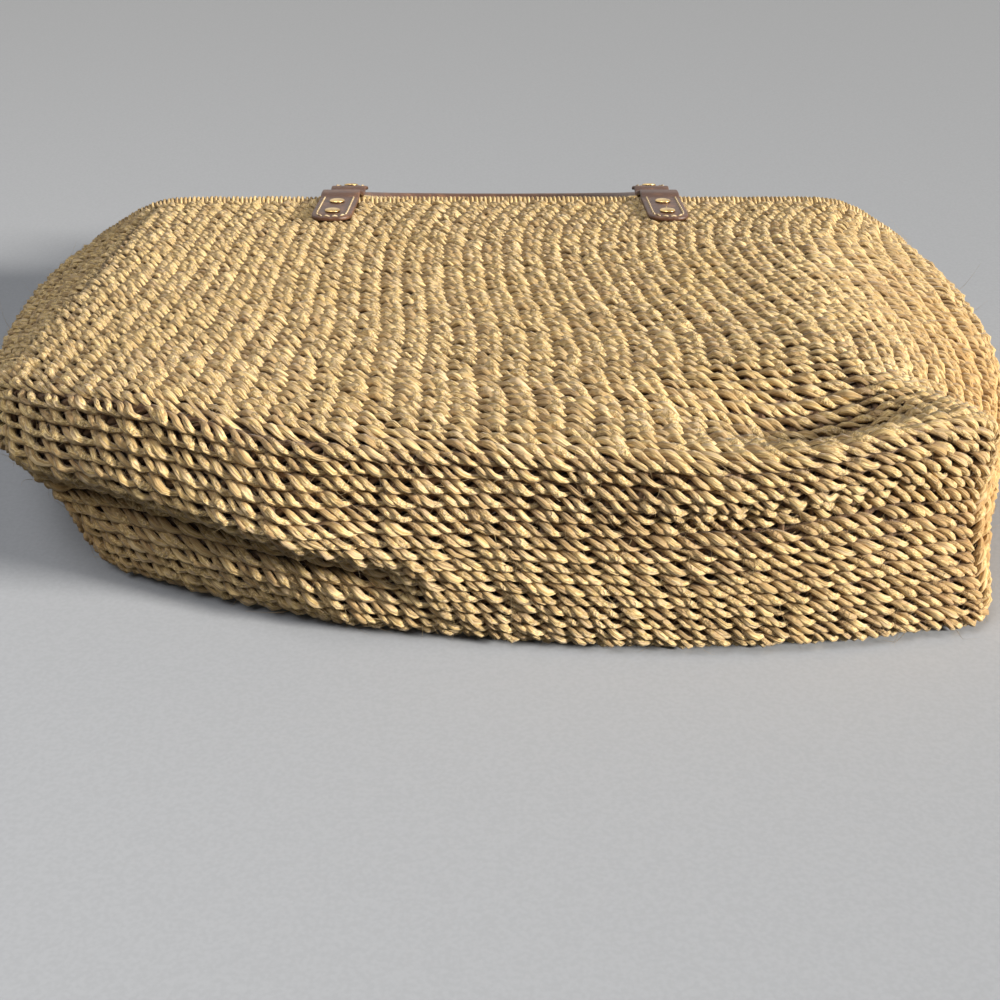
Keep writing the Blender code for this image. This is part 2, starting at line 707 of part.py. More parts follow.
def pivot(name, place, slope):
    """Empty on a joint's axis, turned down by the slope so that its y axis runs along the handle."""
    empty = bpy.data.objects.new(name, None)
    bpy.data.collections[COLLECTION].objects.link(empty)
    empty.location = place
    empty.rotation_euler.x = -slope
    bpy.context.view_layer.update()
    return empty


def keep_place(thing, parent):
    """Parent a piece to an empty without moving it."""
    thing.parent = parent
    thing.matrix_parent_inverse = parent.matrix_world.inverted()


def stand_at_origin():
    """Move the whole bag so that the bottom centre of its box is the origin."""
    bpy.context.view_layer.update()
    depsgraph = bpy.context.evaluated_depsgraph_get()
    corners = []
    for thing in bpy.data.collections[COLLECTION].objects:
        if thing.type != "EMPTY":
            solid = thing.evaluated_get(depsgraph)
            mesh = solid.to_mesh()
            corners += [solid.matrix_world @ vertex.co for vertex in mesh.vertices]
            solid.to_mesh_clear()
    low = Vector(min(corner[axis] for corner in corners) for axis in range(3))
    high = Vector(max(corner[axis] for corner in corners) for axis in range(3))
    middle = Vector(((low.x + high.x) / 2, (low.y + high.y) / 2, low.z))
    everything = list(bpy.data.collections[COLLECTION].objects) + list(bpy.data.collections["cutters"].objects)
    for thing in everything:
        if thing.parent is None:
            thing.matrix_world = Matrix.Translation(-middle) @ thing.matrix_world


def make_materials():
    """The plain materials of the pieces."""
    for name, (colour, roughness, metallic) in MATERIALS.items():
        material = bpy.data.materials.new(name)
        material.use_nodes = True
        shader = material.node_tree.nodes["Principled BSDF"]
        shader.inputs["Base Color"].default_value = (*colour, 1)
        shader.inputs["Roughness"].default_value = roughness
        shader.inputs["Metallic"].default_value = metallic


def main():
    """Build the bag in its own collection."""
    for thing in list(bpy.data.objects):
        bpy.data.objects.remove(thing)
    for name in (COLLECTION, "cutters"):
        group = bpy.data.collections.new(name)
        bpy.context.scene.collection.children.link(group)
    make_materials()

    base_weave()
    length = COURSES_PER_LENGTH * COURSE_PITCH
    for number in range(WEFT_LENGTHS):
        first = 1 + number * COURSES_PER_LENGTH
        name = f"wall_courses_{first:02d}_to_{first + COURSES_PER_LENGTH - 1:02d}"
        top_band = wall_band(name, number * length + GAP / 2, (number + 1) * length - GAP / 2)

    units = ring_units()
    mouth = wall_points(units, WALL_HEIGHT) - WEAVE_THICKNESS / 2 * wall_normals(units, WALL_HEIGHT)
    mouth[:, 1] += GAP / 2 + RIM_DIAMETER / 2
    tube("rim_binding", [tuple(point) for point in mouth], RIM_DIAMETER, "sisal", closed=True)

    back_axis = chapes("back", False, top_band)
    front_axis = chapes("front", True, top_band)
    handle("back", back_axis, ROLL_DIAMETER / 2)
    handle("front", front_axis, ROLL_DIAMETER / 2 + ROLL_DIAMETER + GAP)
    stand_at_origin()


if __name__ == "__main__":
    main()
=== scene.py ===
"""Kiondo basket: a twined sisal carrying bag that lies on its back wall.

The bag is dressed course by course. Every course is a twining of four plies, two to a weft
strand, that wind round the warps as slender helices. The courses follow two surfaces worked
out as whole arrays: the wall, which is counted in warps round the bag and in height above the
fold, and the base, which is the patch that the fold encloses. The mouth has a bound rim, and
two rolled leather handles hang from brass rings in leather chapes that are riveted over it.
"""
import json
import logging
import math
from dataclasses import dataclass, field
from enum import Enum

import bpy
import numpy as np
from mathutils import Matrix, Vector


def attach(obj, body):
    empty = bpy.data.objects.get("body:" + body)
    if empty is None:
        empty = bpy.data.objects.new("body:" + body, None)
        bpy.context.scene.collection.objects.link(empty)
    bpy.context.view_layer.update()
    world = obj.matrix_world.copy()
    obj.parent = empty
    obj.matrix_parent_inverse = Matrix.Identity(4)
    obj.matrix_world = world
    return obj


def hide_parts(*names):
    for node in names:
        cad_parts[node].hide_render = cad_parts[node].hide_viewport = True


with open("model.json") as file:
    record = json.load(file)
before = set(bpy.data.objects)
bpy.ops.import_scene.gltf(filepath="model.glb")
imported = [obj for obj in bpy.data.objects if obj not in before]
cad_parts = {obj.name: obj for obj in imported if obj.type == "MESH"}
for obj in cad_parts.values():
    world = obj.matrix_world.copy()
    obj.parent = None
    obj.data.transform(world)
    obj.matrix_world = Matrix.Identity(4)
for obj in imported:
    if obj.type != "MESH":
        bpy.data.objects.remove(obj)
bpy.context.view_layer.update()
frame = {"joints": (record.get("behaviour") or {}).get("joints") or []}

MM = 0.001
QUARTER = math.pi / 4
HANDS = (("left", -1), ("right", 1))
log = logging.getLogger("kiondo_basket")


class Body(Enum):
    """Bodies of the model that pieces ride on."""

    BAG = "bag"
    FRONT_RINGS = "front_rings"
    BACK_RINGS = "back_rings"
    FRONT_HANDLE = "front_handle"
    BACK_HANDLE = "back_handle"


class Slot(Enum):
    """Finishes that the record names."""

    SISAL = "sisal"
    LEATHER = "leather"
    BRASS = "brass"


class Side(Enum):
    """Walls of the bag that carry a handle."""

    FRONT = "front"
    BACK = "back"


# ---- small curves -------------------------------------------------------------------------


def ease(value: np.ndarray) -> np.ndarray:
    """Smooth step: three times the square less twice the cube of the value held in 0 to 1."""
    held = np.clip(value, 0, 1)
    return held * held * (3 - 2 * held)


def run_through(value: np.ndarray, places: tuple[float, ...], levels: tuple[float, ...]) -> np.ndarray:
    """Smooth run: the first level, plus each step to the next eased from place to place."""
    result = np.zeros_like(np.asarray(value, float)) + levels[0]
    for here, there, low, high in zip(places, places[1:], levels, levels[1:]):
        result = result + (high - low) * ease((value - here) / (there - here))
    return result


def hill(value: np.ndarray, centre: float, spread: float) -> np.ndarray:
    """Round hill: e to the minus square of the distance from the centre over the spread."""
    return np.exp(-((value - centre) / spread) ** 2)


def unit(vectors: np.ndarray) -> np.ndarray:
    """Vectors over their own lengths, along the last axis."""
    length = np.linalg.norm(vectors, axis=-1, keepdims=True)
    return vectors / np.maximum(length, 1e-12)


def slope_of(paths: np.ndarray, closed: bool) -> np.ndarray:
    """Directions along paths, from the difference of each point's two neighbours.

    Args:
        paths: Points, with the step along the path on the second last axis.
        closed: Whether the last point is followed by the first.

    Returns:
        Unit vectors in the shape of the paths.
    """
    if closed:
        return unit(np.roll(paths, -1, axis=-2) - np.roll(paths, 1, axis=-2))
    return unit(np.gradient(paths, axis=-2))


def wander(rng: np.random.Generator, rows: int, knots: int, steps: int, closed: bool) -> np.ndarray:
    """Smooth irregularity: one random number a knot, eased from each knot to the next.

    Args:
        rng: Seeded source of numbers.
        rows: Number of separate lines.
        knots: Number of knots along each line.
        steps: Points from one knot to the next.
        closed: Whether the last knot leads to the first.

    Returns:
        Array of rows by points, between -1 and 1.
    """
    ends = knots if closed else knots + 1
    values = rng.uniform(-1, 1, (rows, ends))
    following = np.roll(values, -1, axis=1)
    part = ease(np.arange(steps) / steps)
    blend = values[..., None] * (1 - part) + following[..., None] * part
    points = blend[:, :knots].reshape(rows, knots * steps)
    return points if closed else np.concatenate([points, values[:, -1:]], axis=1)


# ---- the bag's two surfaces ---------------------------------------------------------------


@dataclass
class Patch:
    """Surface held as a grid of points, with directions square to it and up it.

    A place between grid points is the bilinear mean of the four round it.
    """

    points: np.ndarray
    normals: np.ndarray
    rises: np.ndarray
    row_step: float
    column_step: float
    closed: bool

    def at(self, rows: np.ndarray, columns: np.ndarray) -> tuple[np.ndarray, np.ndarray, np.ndarray]:
        """Points, normals and rises at the given rows and columns, in the patch's own units."""
        count, width = self.points.shape[:2]
        row = np.clip(np.asarray(rows, float) / self.row_step, 0, count - 1.001)
        column = np.asarray(columns, float) / self.column_step
        if self.closed:
            column = np.mod(column, width)
            left = np.floor(column).astype(int)
            right = (left + 1) % width
            left = left % width
        else:
            column = np.clip(column, 0, width - 1.001)
            left = np.floor(column).astype(int)
            right = left + 1
        low = np.floor(row).astype(int)
        down, over = (row - low)[..., None], (column - np.floor(column))[..., None]

        def mean(grid: np.ndarray) -> np.ndarray:
            """Bilinear mean of a grid at the places."""
            near = grid[low, left] * (1 - over) + grid[low, right] * over
            far = grid[low + 1, left] * (1 - over) + grid[low + 1, right] * over
            return near * (1 - down) + far * down

        return mean(self.points), unit(mean(self.normals)), unit(mean(self.rises))


@dataclass(frozen=True)
class BagForm:
    """Shape of the lying bag: the line of its wall at each height, and the base inside the fold."""

    warp_pitch: float = 9.4 * MM
    course_pitch: float = 5.0 * MM
    front_warps: int = 32
    gusset_warps: int = 10
    wall_courses: int = 56
    base_courses: int = 16
    thickness: float = 5.2 * MM
    gap: float = 0.3 * MM
    fine_steps: int = 8
    lying_depth: float = 70.0 * MM
    fold_radius: float = 9.0 * MM
    mouth_lift: float = 6.8 * MM
    mouth_lift_shares: tuple[float, float] = (0.5, 0.82)
    corner_setbacks: tuple[float, ...] = (34 * MM, 14 * MM, 14 * MM, 8 * MM, 47 * MM, 40 * MM)
    front_drawn_out: float = 35.0 * MM
    back_drawn_out: float = 31.0 * MM
    front_sag: float = 4.0 * MM
    hollow_depth: float = 18.0 * MM
    hollow_spreads: tuple[float, ...] = (42.0 * MM, 23.0 * MM, 21.0 * MM)
    hollow_height: float = 28.0 * MM
    hollow_share: float = 0.71
    ridge_jog: float = 10.0 * MM
    ridge_jog_height: float = 50.0 * MM
    ridge_jog_spread: float = 22.0 * MM
    ridge_shift: float = 2.5
    ridge_shift_height: float = 50.0 * MM
    ridge_back_shares: tuple[float, float] = (0.35, 0.85)
    pinch_in: float = 9.0 * MM
    pinch_warps: tuple[float, float] = (2.0, 1.8)
    pinch_height: float = 45.0 * MM
    fold_rises: tuple[tuple[float, float], ...] = ((7.0 * MM, -0.73), (9.0 * MM, 0.8))
    fold_rise_spread: float = 34.0 * MM
    bulge_warps: tuple[float, ...] = (0, 3, 6.5, 10, 13, 16, 24, 32)
    bulges: tuple[float, ...] = (2 * MM, 8 * MM, 10 * MM, 14 * MM, 8 * MM, 4.5 * MM, 4 * MM, 0.0)
    crease_warps: tuple[float, ...] = (0, 3, 6.5, 10, 13)
    crease_shares: tuple[float, ...] = (0.42, 0.44, 0.48, 0.51, 0.55)
    crease_rounding: float = 0.12
    recess_in: float = 10.0 * MM
    groove_out: float = 3.0 * MM
    groove_in: float = 2.5 * MM
    moved: tuple[float, float, float] = (0.00091, -0.2206, 0.0)
    stations: tuple = (
        (0.0, ((-1.06, 1.09), (1.03, 1.00), (0.99, 0.50), (1.06, 0.0), (-0.93, 0.0), (-1.09, 0.63))),
        (0.42, ((-1.04, 1.00), (0.81, 1.01), (1.31, 0.54), (1.00, 0.0), (-1.00, 0.0), (-1.33, 0.57))),
        (1.0, ((-1.07, 0.84), (1.07, 0.84), (1.33, 0.46), (1.10, 0.0), (-1.10, 0.0), (-1.34, 0.46))),
    )

    @property
    def half_length(self) -> float:
        """Half the length of the base."""
        return self.front_warps * self.warp_pitch / 2

    @property
    def warps_round(self) -> int:
        """Warps round the whole bag."""
        return 2 * (self.front_warps + self.gusset_warps)

    @property
    def wall_height(self) -> float:
        """Height of the wall above the fold."""
        return self.wall_courses * self.course_pitch

    @property
    def corner_units(self) -> np.ndarray:
        """Warps at which the section's six corners stand."""
        half = self.gusset_warps / 2
        return np.cumsum([0, self.front_warps, half, half, self.front_warps, half])

    def section(self, share: np.ndarray) -> np.ndarray:
        """Corners of the section at shares of the height: the parabola through the three stations."""
        places = [place for place, _ in self.stations]
        corners = 0
        for here, (place, shares) in enumerate(self.stations):
            weight = np.ones_like(share)
            for other, far in enumerate(places):
                if other != here:
                    weight = weight * (share - far) / (place - far)
            corners = corners + weight[:, None, None] * np.array(shares)
        corners = corners * (self.half_length, self.lying_depth)
        corners[:, 1, 0] -= self.ridge_jog * hill(
            share * self.wall_height, self.ridge_jog_height, self.ridge_jog_spread
        )
        return corners

    def wall_lines(self, heights: np.ndarray) -> np.ndarray:
        """Closed lines of the wall's outer face, one a height.

        The six corners of the section are joined by straight runs. Then the fold is drawn out,
        the front sags between its ridges, the corners are rounded by two running means, and
        near the fold the line is drawn in along its inward normal, by the radius less the
        radius times the cosine of the turn that is left to the base.

        Args:
            heights: Heights above the fold.

        Returns:
            Points by height and fine step round the bag.
        """
        share = heights / self.wall_height
        units = np.arange(self.warps_round * self.fine_steps) / self.fine_steps
        knots = np.append(self.corner_units, self.warps_round)
        hats = np.stack([np.interp(units, knots, row) for row in np.eye(len(knots))])
        corners = self.section(share)
        corners = np.concatenate([corners, corners[:, :1]], axis=1)
        counted = self.ridge_units(share, units)
        across, up = self.straight_runs(corners, knots, counted)
        setbacks = self.corner_setbacks + self.corner_setbacks[:1]

        front = np.where(units <= self.front_warps, 2 * units / self.front_warps - 1, 1)
        rear = 2 * (units - self.corner_units[3]) / self.front_warps - 1
        rear = np.where(np.abs(rear) <= 1, rear, 1)
        back = np.array(setbacks) @ hats - self.front_drawn_out * (1 - np.abs(front) ** 3)
        back = np.broadcast_to(back - self.back_drawn_out * (1 - rear ** 2), across.shape)

        high, low = heights[:, None], 1 - share[:, None]
        front = np.where(counted <= self.front_warps, 2 * counted / self.front_warps - 1, 1)
        inside = 1 - np.abs(front) ** 8
        rise = sum(
            size * hill(across, place * self.half_length, self.fold_rise_spread)
            for size, place in self.fold_rises
        )
        gentle, steep, tall = self.hollow_spreads
        hollow = self.hollow_share * self.half_length
        dent = hill(across, hollow, np.where(across < hollow, gentle, steep))
        dent = self.hollow_depth * dent * hill(high, self.hollow_height, tall)
        up = up - self.front_sag * np.sin(math.pi * share[:, None]) ** 2 * (1 - front ** 2)
        up = up + inside * (rise * low ** 4 - dent)
        start, end = self.mouth_lift_shares
        lift = self.mouth_lift * ease((share[:, None] - start) / (end - start))
        up = up + lift * (1 - up / self.lying_depth)
        before, spread_warps = self.pinch_warps
        pinch = hill(units, self.corner_units[5] - before, spread_warps)
        across = across + self.pinch_in * pinch * hill(high, 0, self.pinch_height)
        across, up, back = (self.rounded(line) for line in (across, up, back))

        turn = np.maximum(0, QUARTER - high / self.fold_radius)
        inset = self.fold_radius * (1 - np.cos(turn))
        run_across = np.roll(across, -1, 1) - np.roll(across, 1, 1)
        run_up = np.roll(up, -1, 1) - np.roll(up, 1, 1)
        length = np.hypot(run_across, run_up)
        across, up = across + inset * run_up / length, up - inset * run_across / length
        bent = self.fold_radius * (1 - np.sin(turn))
        straight = self.fold_radius * (1 - QUARTER) + high
        along = np.where(turn > 0, bent, straight)
        return np.stack([across, back * low + along, up], axis=-1) + np.array(self.moved)

    def ridge_units(self, share: np.ndarray, units: np.ndarray) -> np.ndarray:
        """Warps recounted at each height, so that the right ridge keeps its number.

        The ridge runs to the left of its own warp by an eased step up the wall, and back to
        it further up. The warps on both sides of it are stretched evenly.
        """
        start, end = self.ridge_back_shares
        moved = ease(share * self.wall_height / self.ridge_shift_height) * (1 - ease((share - start) / (end - start)))
        ridge = self.front_warps - self.ridge_shift * moved[:, None]
        side = self.corner_units[2]
        before = units * self.front_warps / ridge
        after = side - (side - units) * (side - self.front_warps) / (side - ridge)
        return np.where(units <= ridge, before, np.where(units <= side, after, units))

    @staticmethod
    def straight_runs(corners: np.ndarray, knots: np.ndarray, units: np.ndarray) -> np.ndarray:
        """Straight runs between corners: the two coordinates at each height and warp."""
        here = np.clip(np.searchsorted(knots, units, side="right") - 1, 0, len(knots) - 2)
        part = (units - knots[here]) / (knots[here + 1] - knots[here])
        near, far = (np.take_along_axis(corners, place[..., None], axis=1) for place in (here, here + 1))
        return np.moveaxis(near + (far - near) * part[..., None], -1, 0)

    def rounded(self, values: np.ndarray) -> np.ndarray:
        """Closed lines with rounded corners: twice the mean of the neighbours within a warp."""
        reach = range(-self.fine_steps, self.fine_steps + 1)
        for _ in range(2):
            values = np.mean([np.roll(values, step, axis=1) for step in reach], axis=0)
        return values

    def wall(self) -> Patch:
        """The wall's outer face: rows in metres above the fold, columns in warps."""
        step = self.course_pitch / 4
        heights = np.arange(0, self.wall_height + 3 * step, step)
        points = self.wall_lines(heights)
        rises = unit(np.gradient(points, axis=0))
        normals = unit(np.cross(slope_of(points, True), rises))
        return Patch(points, normals, rises, step, 1 / self.fine_steps, True)

    def displacement(self, warp: np.ndarray, course: np.ndarray) -> np.ndarray:
        """How far the base stands out of the plain patch.

        At the left it is a roof with a rounded ridge at the crease and a hollow below it, and
        further right half a sine wave. A shallow groove is the difference of two hills.

        Args:
            warp: Warps from the left end.
            course: Shares of the way from the front fold down to the back fold.

        Returns:
            Distances out of the bag.
        """
        crease = run_through(warp, self.crease_warps, self.crease_shares)
        sharp = run_through(warp, (0, 10, 14), (1.0, 1.0, 0.0))
        away = (course - crease) / np.where(course < crease, crease, 1 - crease)
        roof = 1 + self.crease_rounding - np.hypot(away, self.crease_rounding)
        out = run_through(warp, self.bulge_warps, self.bulges)
        out = out * (sharp * roof + (1 - sharp) * np.sin(math.pi * course))
        ends = ease(warp / 3) * ease((self.front_warps - warp) / 4)
        out = out - self.recess_in * ends * sharp * hill(course - crease, 0.16, 0.10)
        right = ends * ease((warp - 18) / 5)
        beside = course - run_through(warp, (18, 26, 32), (0.36, 0.30, 0.33))
        out = out + self.groove_out * right * hill(beside, -0.10, 0.10)
        return out - self.groove_in * right * hill(beside, 0.05, 0.09)

    def base(self, wall: Patch) -> Patch:
        """The base's outer face: rows in courses from the front fold down, columns in warps.

        The patch is the sum of the straight blends between opposite edges less the blend of
        the four corners. It is drawn out by the displacement and, near the fold, by the rest
        of the fold's arc. Rows are then set at equal lengths down the face.

        Args:
            wall: The wall, whose foot is the patch's edge.

        Returns:
            The base's surface.
        """
        warps = np.linspace(0, self.front_warps, self.front_warps * self.fine_steps + 1)
        sides = np.linspace(0, self.gusset_warps, self.gusset_warps * self.fine_steps + 1)
        share = (warps / self.front_warps)[None, :, None]
        course = (sides / self.gusset_warps)[:, None, None]
        corner = self.corner_units

        def foot(units: np.ndarray) -> np.ndarray:
            """Points of the fold at the given warps."""
            return wall.at(np.zeros_like(units), units)[0]

        front, back = foot(warps)[None], foot(corner[4] - warps)[None]
        left, right = foot(self.warps_round - sides)[:, None], foot(self.front_warps + sides)[:, None]
        grid = (1 - course) * front + course * back + (1 - share) * left + share * right
        grid = grid - (1 - course) * ((1 - share) * front[:, :1] + share * front[:, -1:])
        grid = grid - course * ((1 - share) * back[:, :1] + share * back[:, -1:])
        out = self.displacement(warps[None, :], (sides / self.gusset_warps)[:, None])
        edge = self.warp_pitch * np.minimum(
            np.minimum(warps, self.front_warps - warps)[None, :],
            np.minimum(sides, self.gusset_warps - sides)[:, None],
        )
        turn = np.clip(QUARTER - edge / self.fold_radius, 0, QUARTER)
        grid[..., 1] -= out + self.fold_radius * (np.cos(turn) - math.cos(QUARTER))
        grid = self.even_rows(grid)
        down = unit(np.gradient(grid, axis=0))
        normals = unit(np.cross(slope_of(grid, False), -down))
        return Patch(grid, normals, -down, self.base_courses / (len(sides) - 1), 1 / self.fine_steps, False)

    @staticmethod
    def even_rows(grid: np.ndarray) -> np.ndarray:
        """The same face with its rows at equal lengths down each column."""
        count, width = grid.shape[:2]
        steps = np.linalg.norm(np.diff(grid, axis=0), axis=2)
        run = np.vstack([np.zeros(width), np.cumsum(steps, axis=0)])
        even = run[-1] * np.linspace(0, 1, count)[:, None]
        return np.stack([
            np.stack([np.interp(even[:, column], run[:, column], grid[:, column, axis]) for axis in range(3)], -1)
            for column in range(width)
        ], axis=1)


# ---- meshes -------------------------------------------------------------------------------


@dataclass
class Skin:
    """Arrays of one mesh: its points, its faces of four, its end caps, and what its finish reads."""

    points: np.ndarray
    quads: np.ndarray
    caps: np.ndarray
    marks: dict[str, np.ndarray] = field(default_factory=dict)

    def joined(self, other: "Skin") -> "Skin":
        """This skin and another one in a single mesh; both carry the same marks and cap sizes."""
        shift = len(self.points)
        marks = {name: np.concatenate([value, other.marks[name]]) for name, value in self.marks.items()}
        return Skin(
            np.concatenate([self.points, other.points]), np.concatenate([self.quads, other.quads + shift]),
            np.concatenate([self.caps, other.caps + shift]), marks,
        )

    def piece(self, name: str, material: bpy.types.Material, body: Body, slot: Slot) -> bpy.types.Object:
        """Object of the mesh, smooth, with its material, riding on its body.

        Args:
            name: The piece's name.
            material: Its finish.
            body: The body that carries it.
            slot: The record's finish that it takes; not used.

        Returns:
            The new object.
        """
        mesh = bpy.data.meshes.new(name)
        corners = np.concatenate([self.quads.ravel(), self.caps.ravel()]).astype(np.int32)
        sides = self.caps.shape[1] if len(self.caps) else 0
        starts = np.concatenate([
            np.arange(len(self.quads)) * 4, self.quads.size + np.arange(len(self.caps)) * sides,
        ]).astype(np.int32)
        mesh.vertices.add(len(self.points))
        mesh.vertices.foreach_set("co", self.points.astype(np.float32).ravel())
        mesh.loops.add(len(corners))
        mesh.polygons.add(len(starts))
        mesh.polygons.foreach_set("loop_start", starts)
        mesh.polygons.foreach_set("vertices", corners)
        mesh.update(calc_edges=True)
        mesh.validate()
        for mark, values in self.marks.items():
            kind, key = ("FLOAT_VECTOR", "vector") if values.ndim == 2 else ("FLOAT", "value")
            layer = mesh.attributes.new(mark, kind, "POINT")
            layer.data.foreach_set(key, values.astype(np.float32).ravel())
        mesh.shade_smooth()
        mesh.materials.append(material)
        thing = bpy.data.objects.new(name, mesh)
        bpy.context.scene.collection.objects.link(thing)
        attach(thing, body.value)
        log.info("%s: %d points, %d faces", name, len(self.points), len(starts))
        return thing


def wrapped(points: np.ndarray, closed: bool, marks: dict[str, np.ndarray]) -> Skin:
    """Skin over rings of points: faces of four from ring to ring, and caps where a path ends.

    Args:
        points: Points by path, step and corner, counter-clockwise about the path's direction.
        closed: Whether each path closes on itself.
        marks: What the finish reads, one row a point.

    Returns:
        The skin, facing out.
    """
    index = np.arange(points.size // 3).reshape(points.shape[:3])
    beside = np.roll(index, -1, axis=2)
    quads = np.stack([index, beside, np.roll(beside, -1, axis=1), np.roll(index, -1, axis=1)], axis=-1)
    if closed:
        caps = np.zeros((0, points.shape[2]), int)
    else:
        quads = quads[:, :-1]
        caps = np.concatenate([index[:, 0, ::-1], index[:, -1]])
    return Skin(points.reshape(-1, 3), quads.reshape(-1, 4), caps, marks)


def evenly(line: np.ndarray, shares: np.ndarray) -> np.ndarray:
    """Points of an open line at shares of its length."""
    run = np.concatenate([[0], np.cumsum(np.linalg.norm(np.diff(line, axis=0), axis=1))])
    return np.stack([np.interp(shares * run[-1], run, column) for column in line.T], axis=-1)


def tubes(
    paths: np.ndarray, outs: np.ndarray, radius: np.ndarray, sides: int, closed: bool,
    uneven: np.ndarray | None = None,
) -> Skin:
    """Round tubes carried along paths.

    A point is its path's point, plus the radius times the cosine of the angle along the out
    direction, plus the radius times the sine across it. The radius may be uneven round the tube.

    Args:
        paths: Points, by tube and step.
        outs: Directions that each ring's first corner faces, in the same shape.
        radius: Radius at each step, in the shape of tubes by steps.
        sides: Corners of a ring.
        closed: Whether each path closes on itself.
        uneven: Share that is added to the radius, by tube, step and corner.

    Returns:
        Skin with the mark "thread": length along the path, and the ring angle's cosine and sine.
    """
    along = slope_of(paths, closed)
    side = unit(np.cross(along, outs))
    out = np.cross(side, along)
    angle = 2 * math.pi * np.arange(sides) / sides
    cosine, sine = np.cos(angle)[:, None], np.sin(angle)[:, None]
    ring = cosine * out[..., None, :] + sine * side[..., None, :]
    if uneven is not None:
        ring = ring * (1 + uneven[..., None])
    points = paths[..., None, :] + radius[..., None, None] * ring

    steps = np.linalg.norm(np.diff(paths, axis=1), axis=2)
    run = np.concatenate([np.zeros((len(paths), 1)), np.cumsum(steps, axis=1)], axis=1)
    thread = np.stack(np.broadcast_arrays(run[..., None], np.cos(angle), np.sin(angle)), axis=-1)

    return wrapped(points, closed, {"thread": thread.reshape(-1, 3)})


def spread(values: np.ndarray, sides: int) -> np.ndarray:
    """One value a step of each tube, repeated for every corner of its ring."""
    return np.repeat(np.asarray(values, float).ravel(), sides)


# ---- the weave ----------------------------------------------------------------------------


@dataclass(frozen=True)
class Twining:
    """Sizes of the twined weft: four plies that wind round the warps, one turn in two warps."""

    ply_radius: float = 1.27 * MM
    lumps: float = 0.15
    reach_out: float = 1.62 * MM
    reach_up: float = 1.95 * MM
    swell: float = 0.70 * MM
    stray_up: float = 0.46 * MM
    skew: float = 0.15
    gather: float = 0.20 * MM
    angles: tuple[float, ...] = (-0.62, 0.62, math.pi - 0.62, math.pi + 0.62)
    thickness: tuple[float, ...] = (1.08, 0.90, 1.08, 0.90)
    tone_shift: tuple[float, ...] = (0.12, -0.20, 0.12, -0.20)
    steps: int = 6
    sides: int = 5
    depth: float = 2.6 * MM

    def plies(self, lay: tuple[np.ndarray, ...], pitch: np.ndarray, closed: bool, seed: int) -> Skin:
        """Weft of some courses.

        A ply stands off its course's middle line by the outward reach times the cosine of its
        turn, and below it by the upward reach times the sine. The turn grows by half a circle
        a warp, so that seen from outside every ply runs down to the right. Its radius is
        largest on the faces of the wall and least where it dives between the warps.

        Args:
            lay: Points of the outer face, normals and rises, by course and step.
            pitch: Height of a course over its usual height, in the same shape.
            closed: Whether the courses go round the bag.
            seed: Start of the irregularities.

        Returns:
            Skin with the marks thread, tone, crest, lean and warm; crest and lean drive the finish's painted shade.
        """
        rng = np.random.default_rng(seed)
        face, normals, rises = lay
        rows, points = face.shape[:2]
        stitches = points // self.steps

        def loose(knots: int, amount: float) -> np.ndarray:
            """Irregularity of every ply, by course, ply and step."""
            steps = points // knots
            values = wander(rng, rows * len(self.angles), knots, steps, closed)
            return amount * values.reshape(rows, len(self.angles), -1)[..., :points]

        count = np.arange(points) / self.steps
        turn = math.pi * (count + 0.04 * rng.uniform(-1, 1, (rows, 1)))[:, None, :]
        turn = turn + np.array(self.angles)[None, :, None] + loose(stitches, 0.38)
        crest = np.cos(turn - self.skew * (1 + np.cos(turn)))
        out = self.reach_out * crest * (1 + loose(stitches, 0.20))
        out = out + self.swell * np.maximum(crest, 0) ** 3 * (1 + loose(stitches, 0.9))
        up = -self.reach_up * pitch[:, None] * np.sin(turn) + loose(stitches, self.stray_up)
        radius = self.ply_radius * np.array(self.thickness)[None, :, None] * pitch[:, None] ** 0.95
        radius = radius * (0.60 + 0.44 * np.cos(turn) ** 2) * (1 + loose(stitches, 0.26))
        middle = face - self.depth * normals
        if not closed:
            ends = np.minimum(count, count[-1] - count)
            middle = middle - (1 - ease(ends / 0.6))[None, :, None] * 2.4 * MM * normals
            radius = radius * (0.35 + 0.65 * ease(ends / 0.35))
        beside = np.cross(rises, normals)[:, None] * (self.gather * np.sin(2 * turn))[..., None]
        paths = middle[:, None] + normals[:, None] * out[..., None] + rises[:, None] * up[..., None] - beside
        outs = np.broadcast_to(normals[:, None], paths.shape)
        lines = rows * len(self.angles)
        uneven = self.lumps * wander(rng, lines * self.sides, points // 2, 2, closed)
        uneven = np.moveaxis(uneven[:, :points].reshape(lines, self.sides, points), 1, 2)
        skin = tubes(
            paths.reshape(lines, points, 3), outs.reshape(lines, points, 3), radius.reshape(lines, points),
            self.sides, closed, uneven,
        )
        skin.marks["tone"] = spread(
            0.5 + np.array(self.tone_shift)[None, :, None] + loose(stitches, 0.45), self.sides
        )
        # crest drives the sisal finish's painted shade where a ply dives between the warps
        skin.marks["crest"] = spread(crest, self.sides)
        # lean drives the sisal finish's painted shade at the start of each grain
        skin.marks["lean"] = spread(np.sin(turn), self.sides)
        skin.marks["warm"] = self.warmth(skin.points)
        return skin

    @staticmethod
    def warmth(points: np.ndarray) -> np.ndarray:
        """Share of amber tint: round hills at the right gusset and the lower left corner."""
        x, y, z = points.T
        right = hill(x, 0.175, 0.035) * hill(z, 0.030, 0.035) * hill(y, -0.15, 0.14)
        left = hill(x, -0.155, 0.03) * hill(z, 0.008, 0.022) * hill(y, -0.17, 0.06)
        return np.clip(right + left, 0, 1)


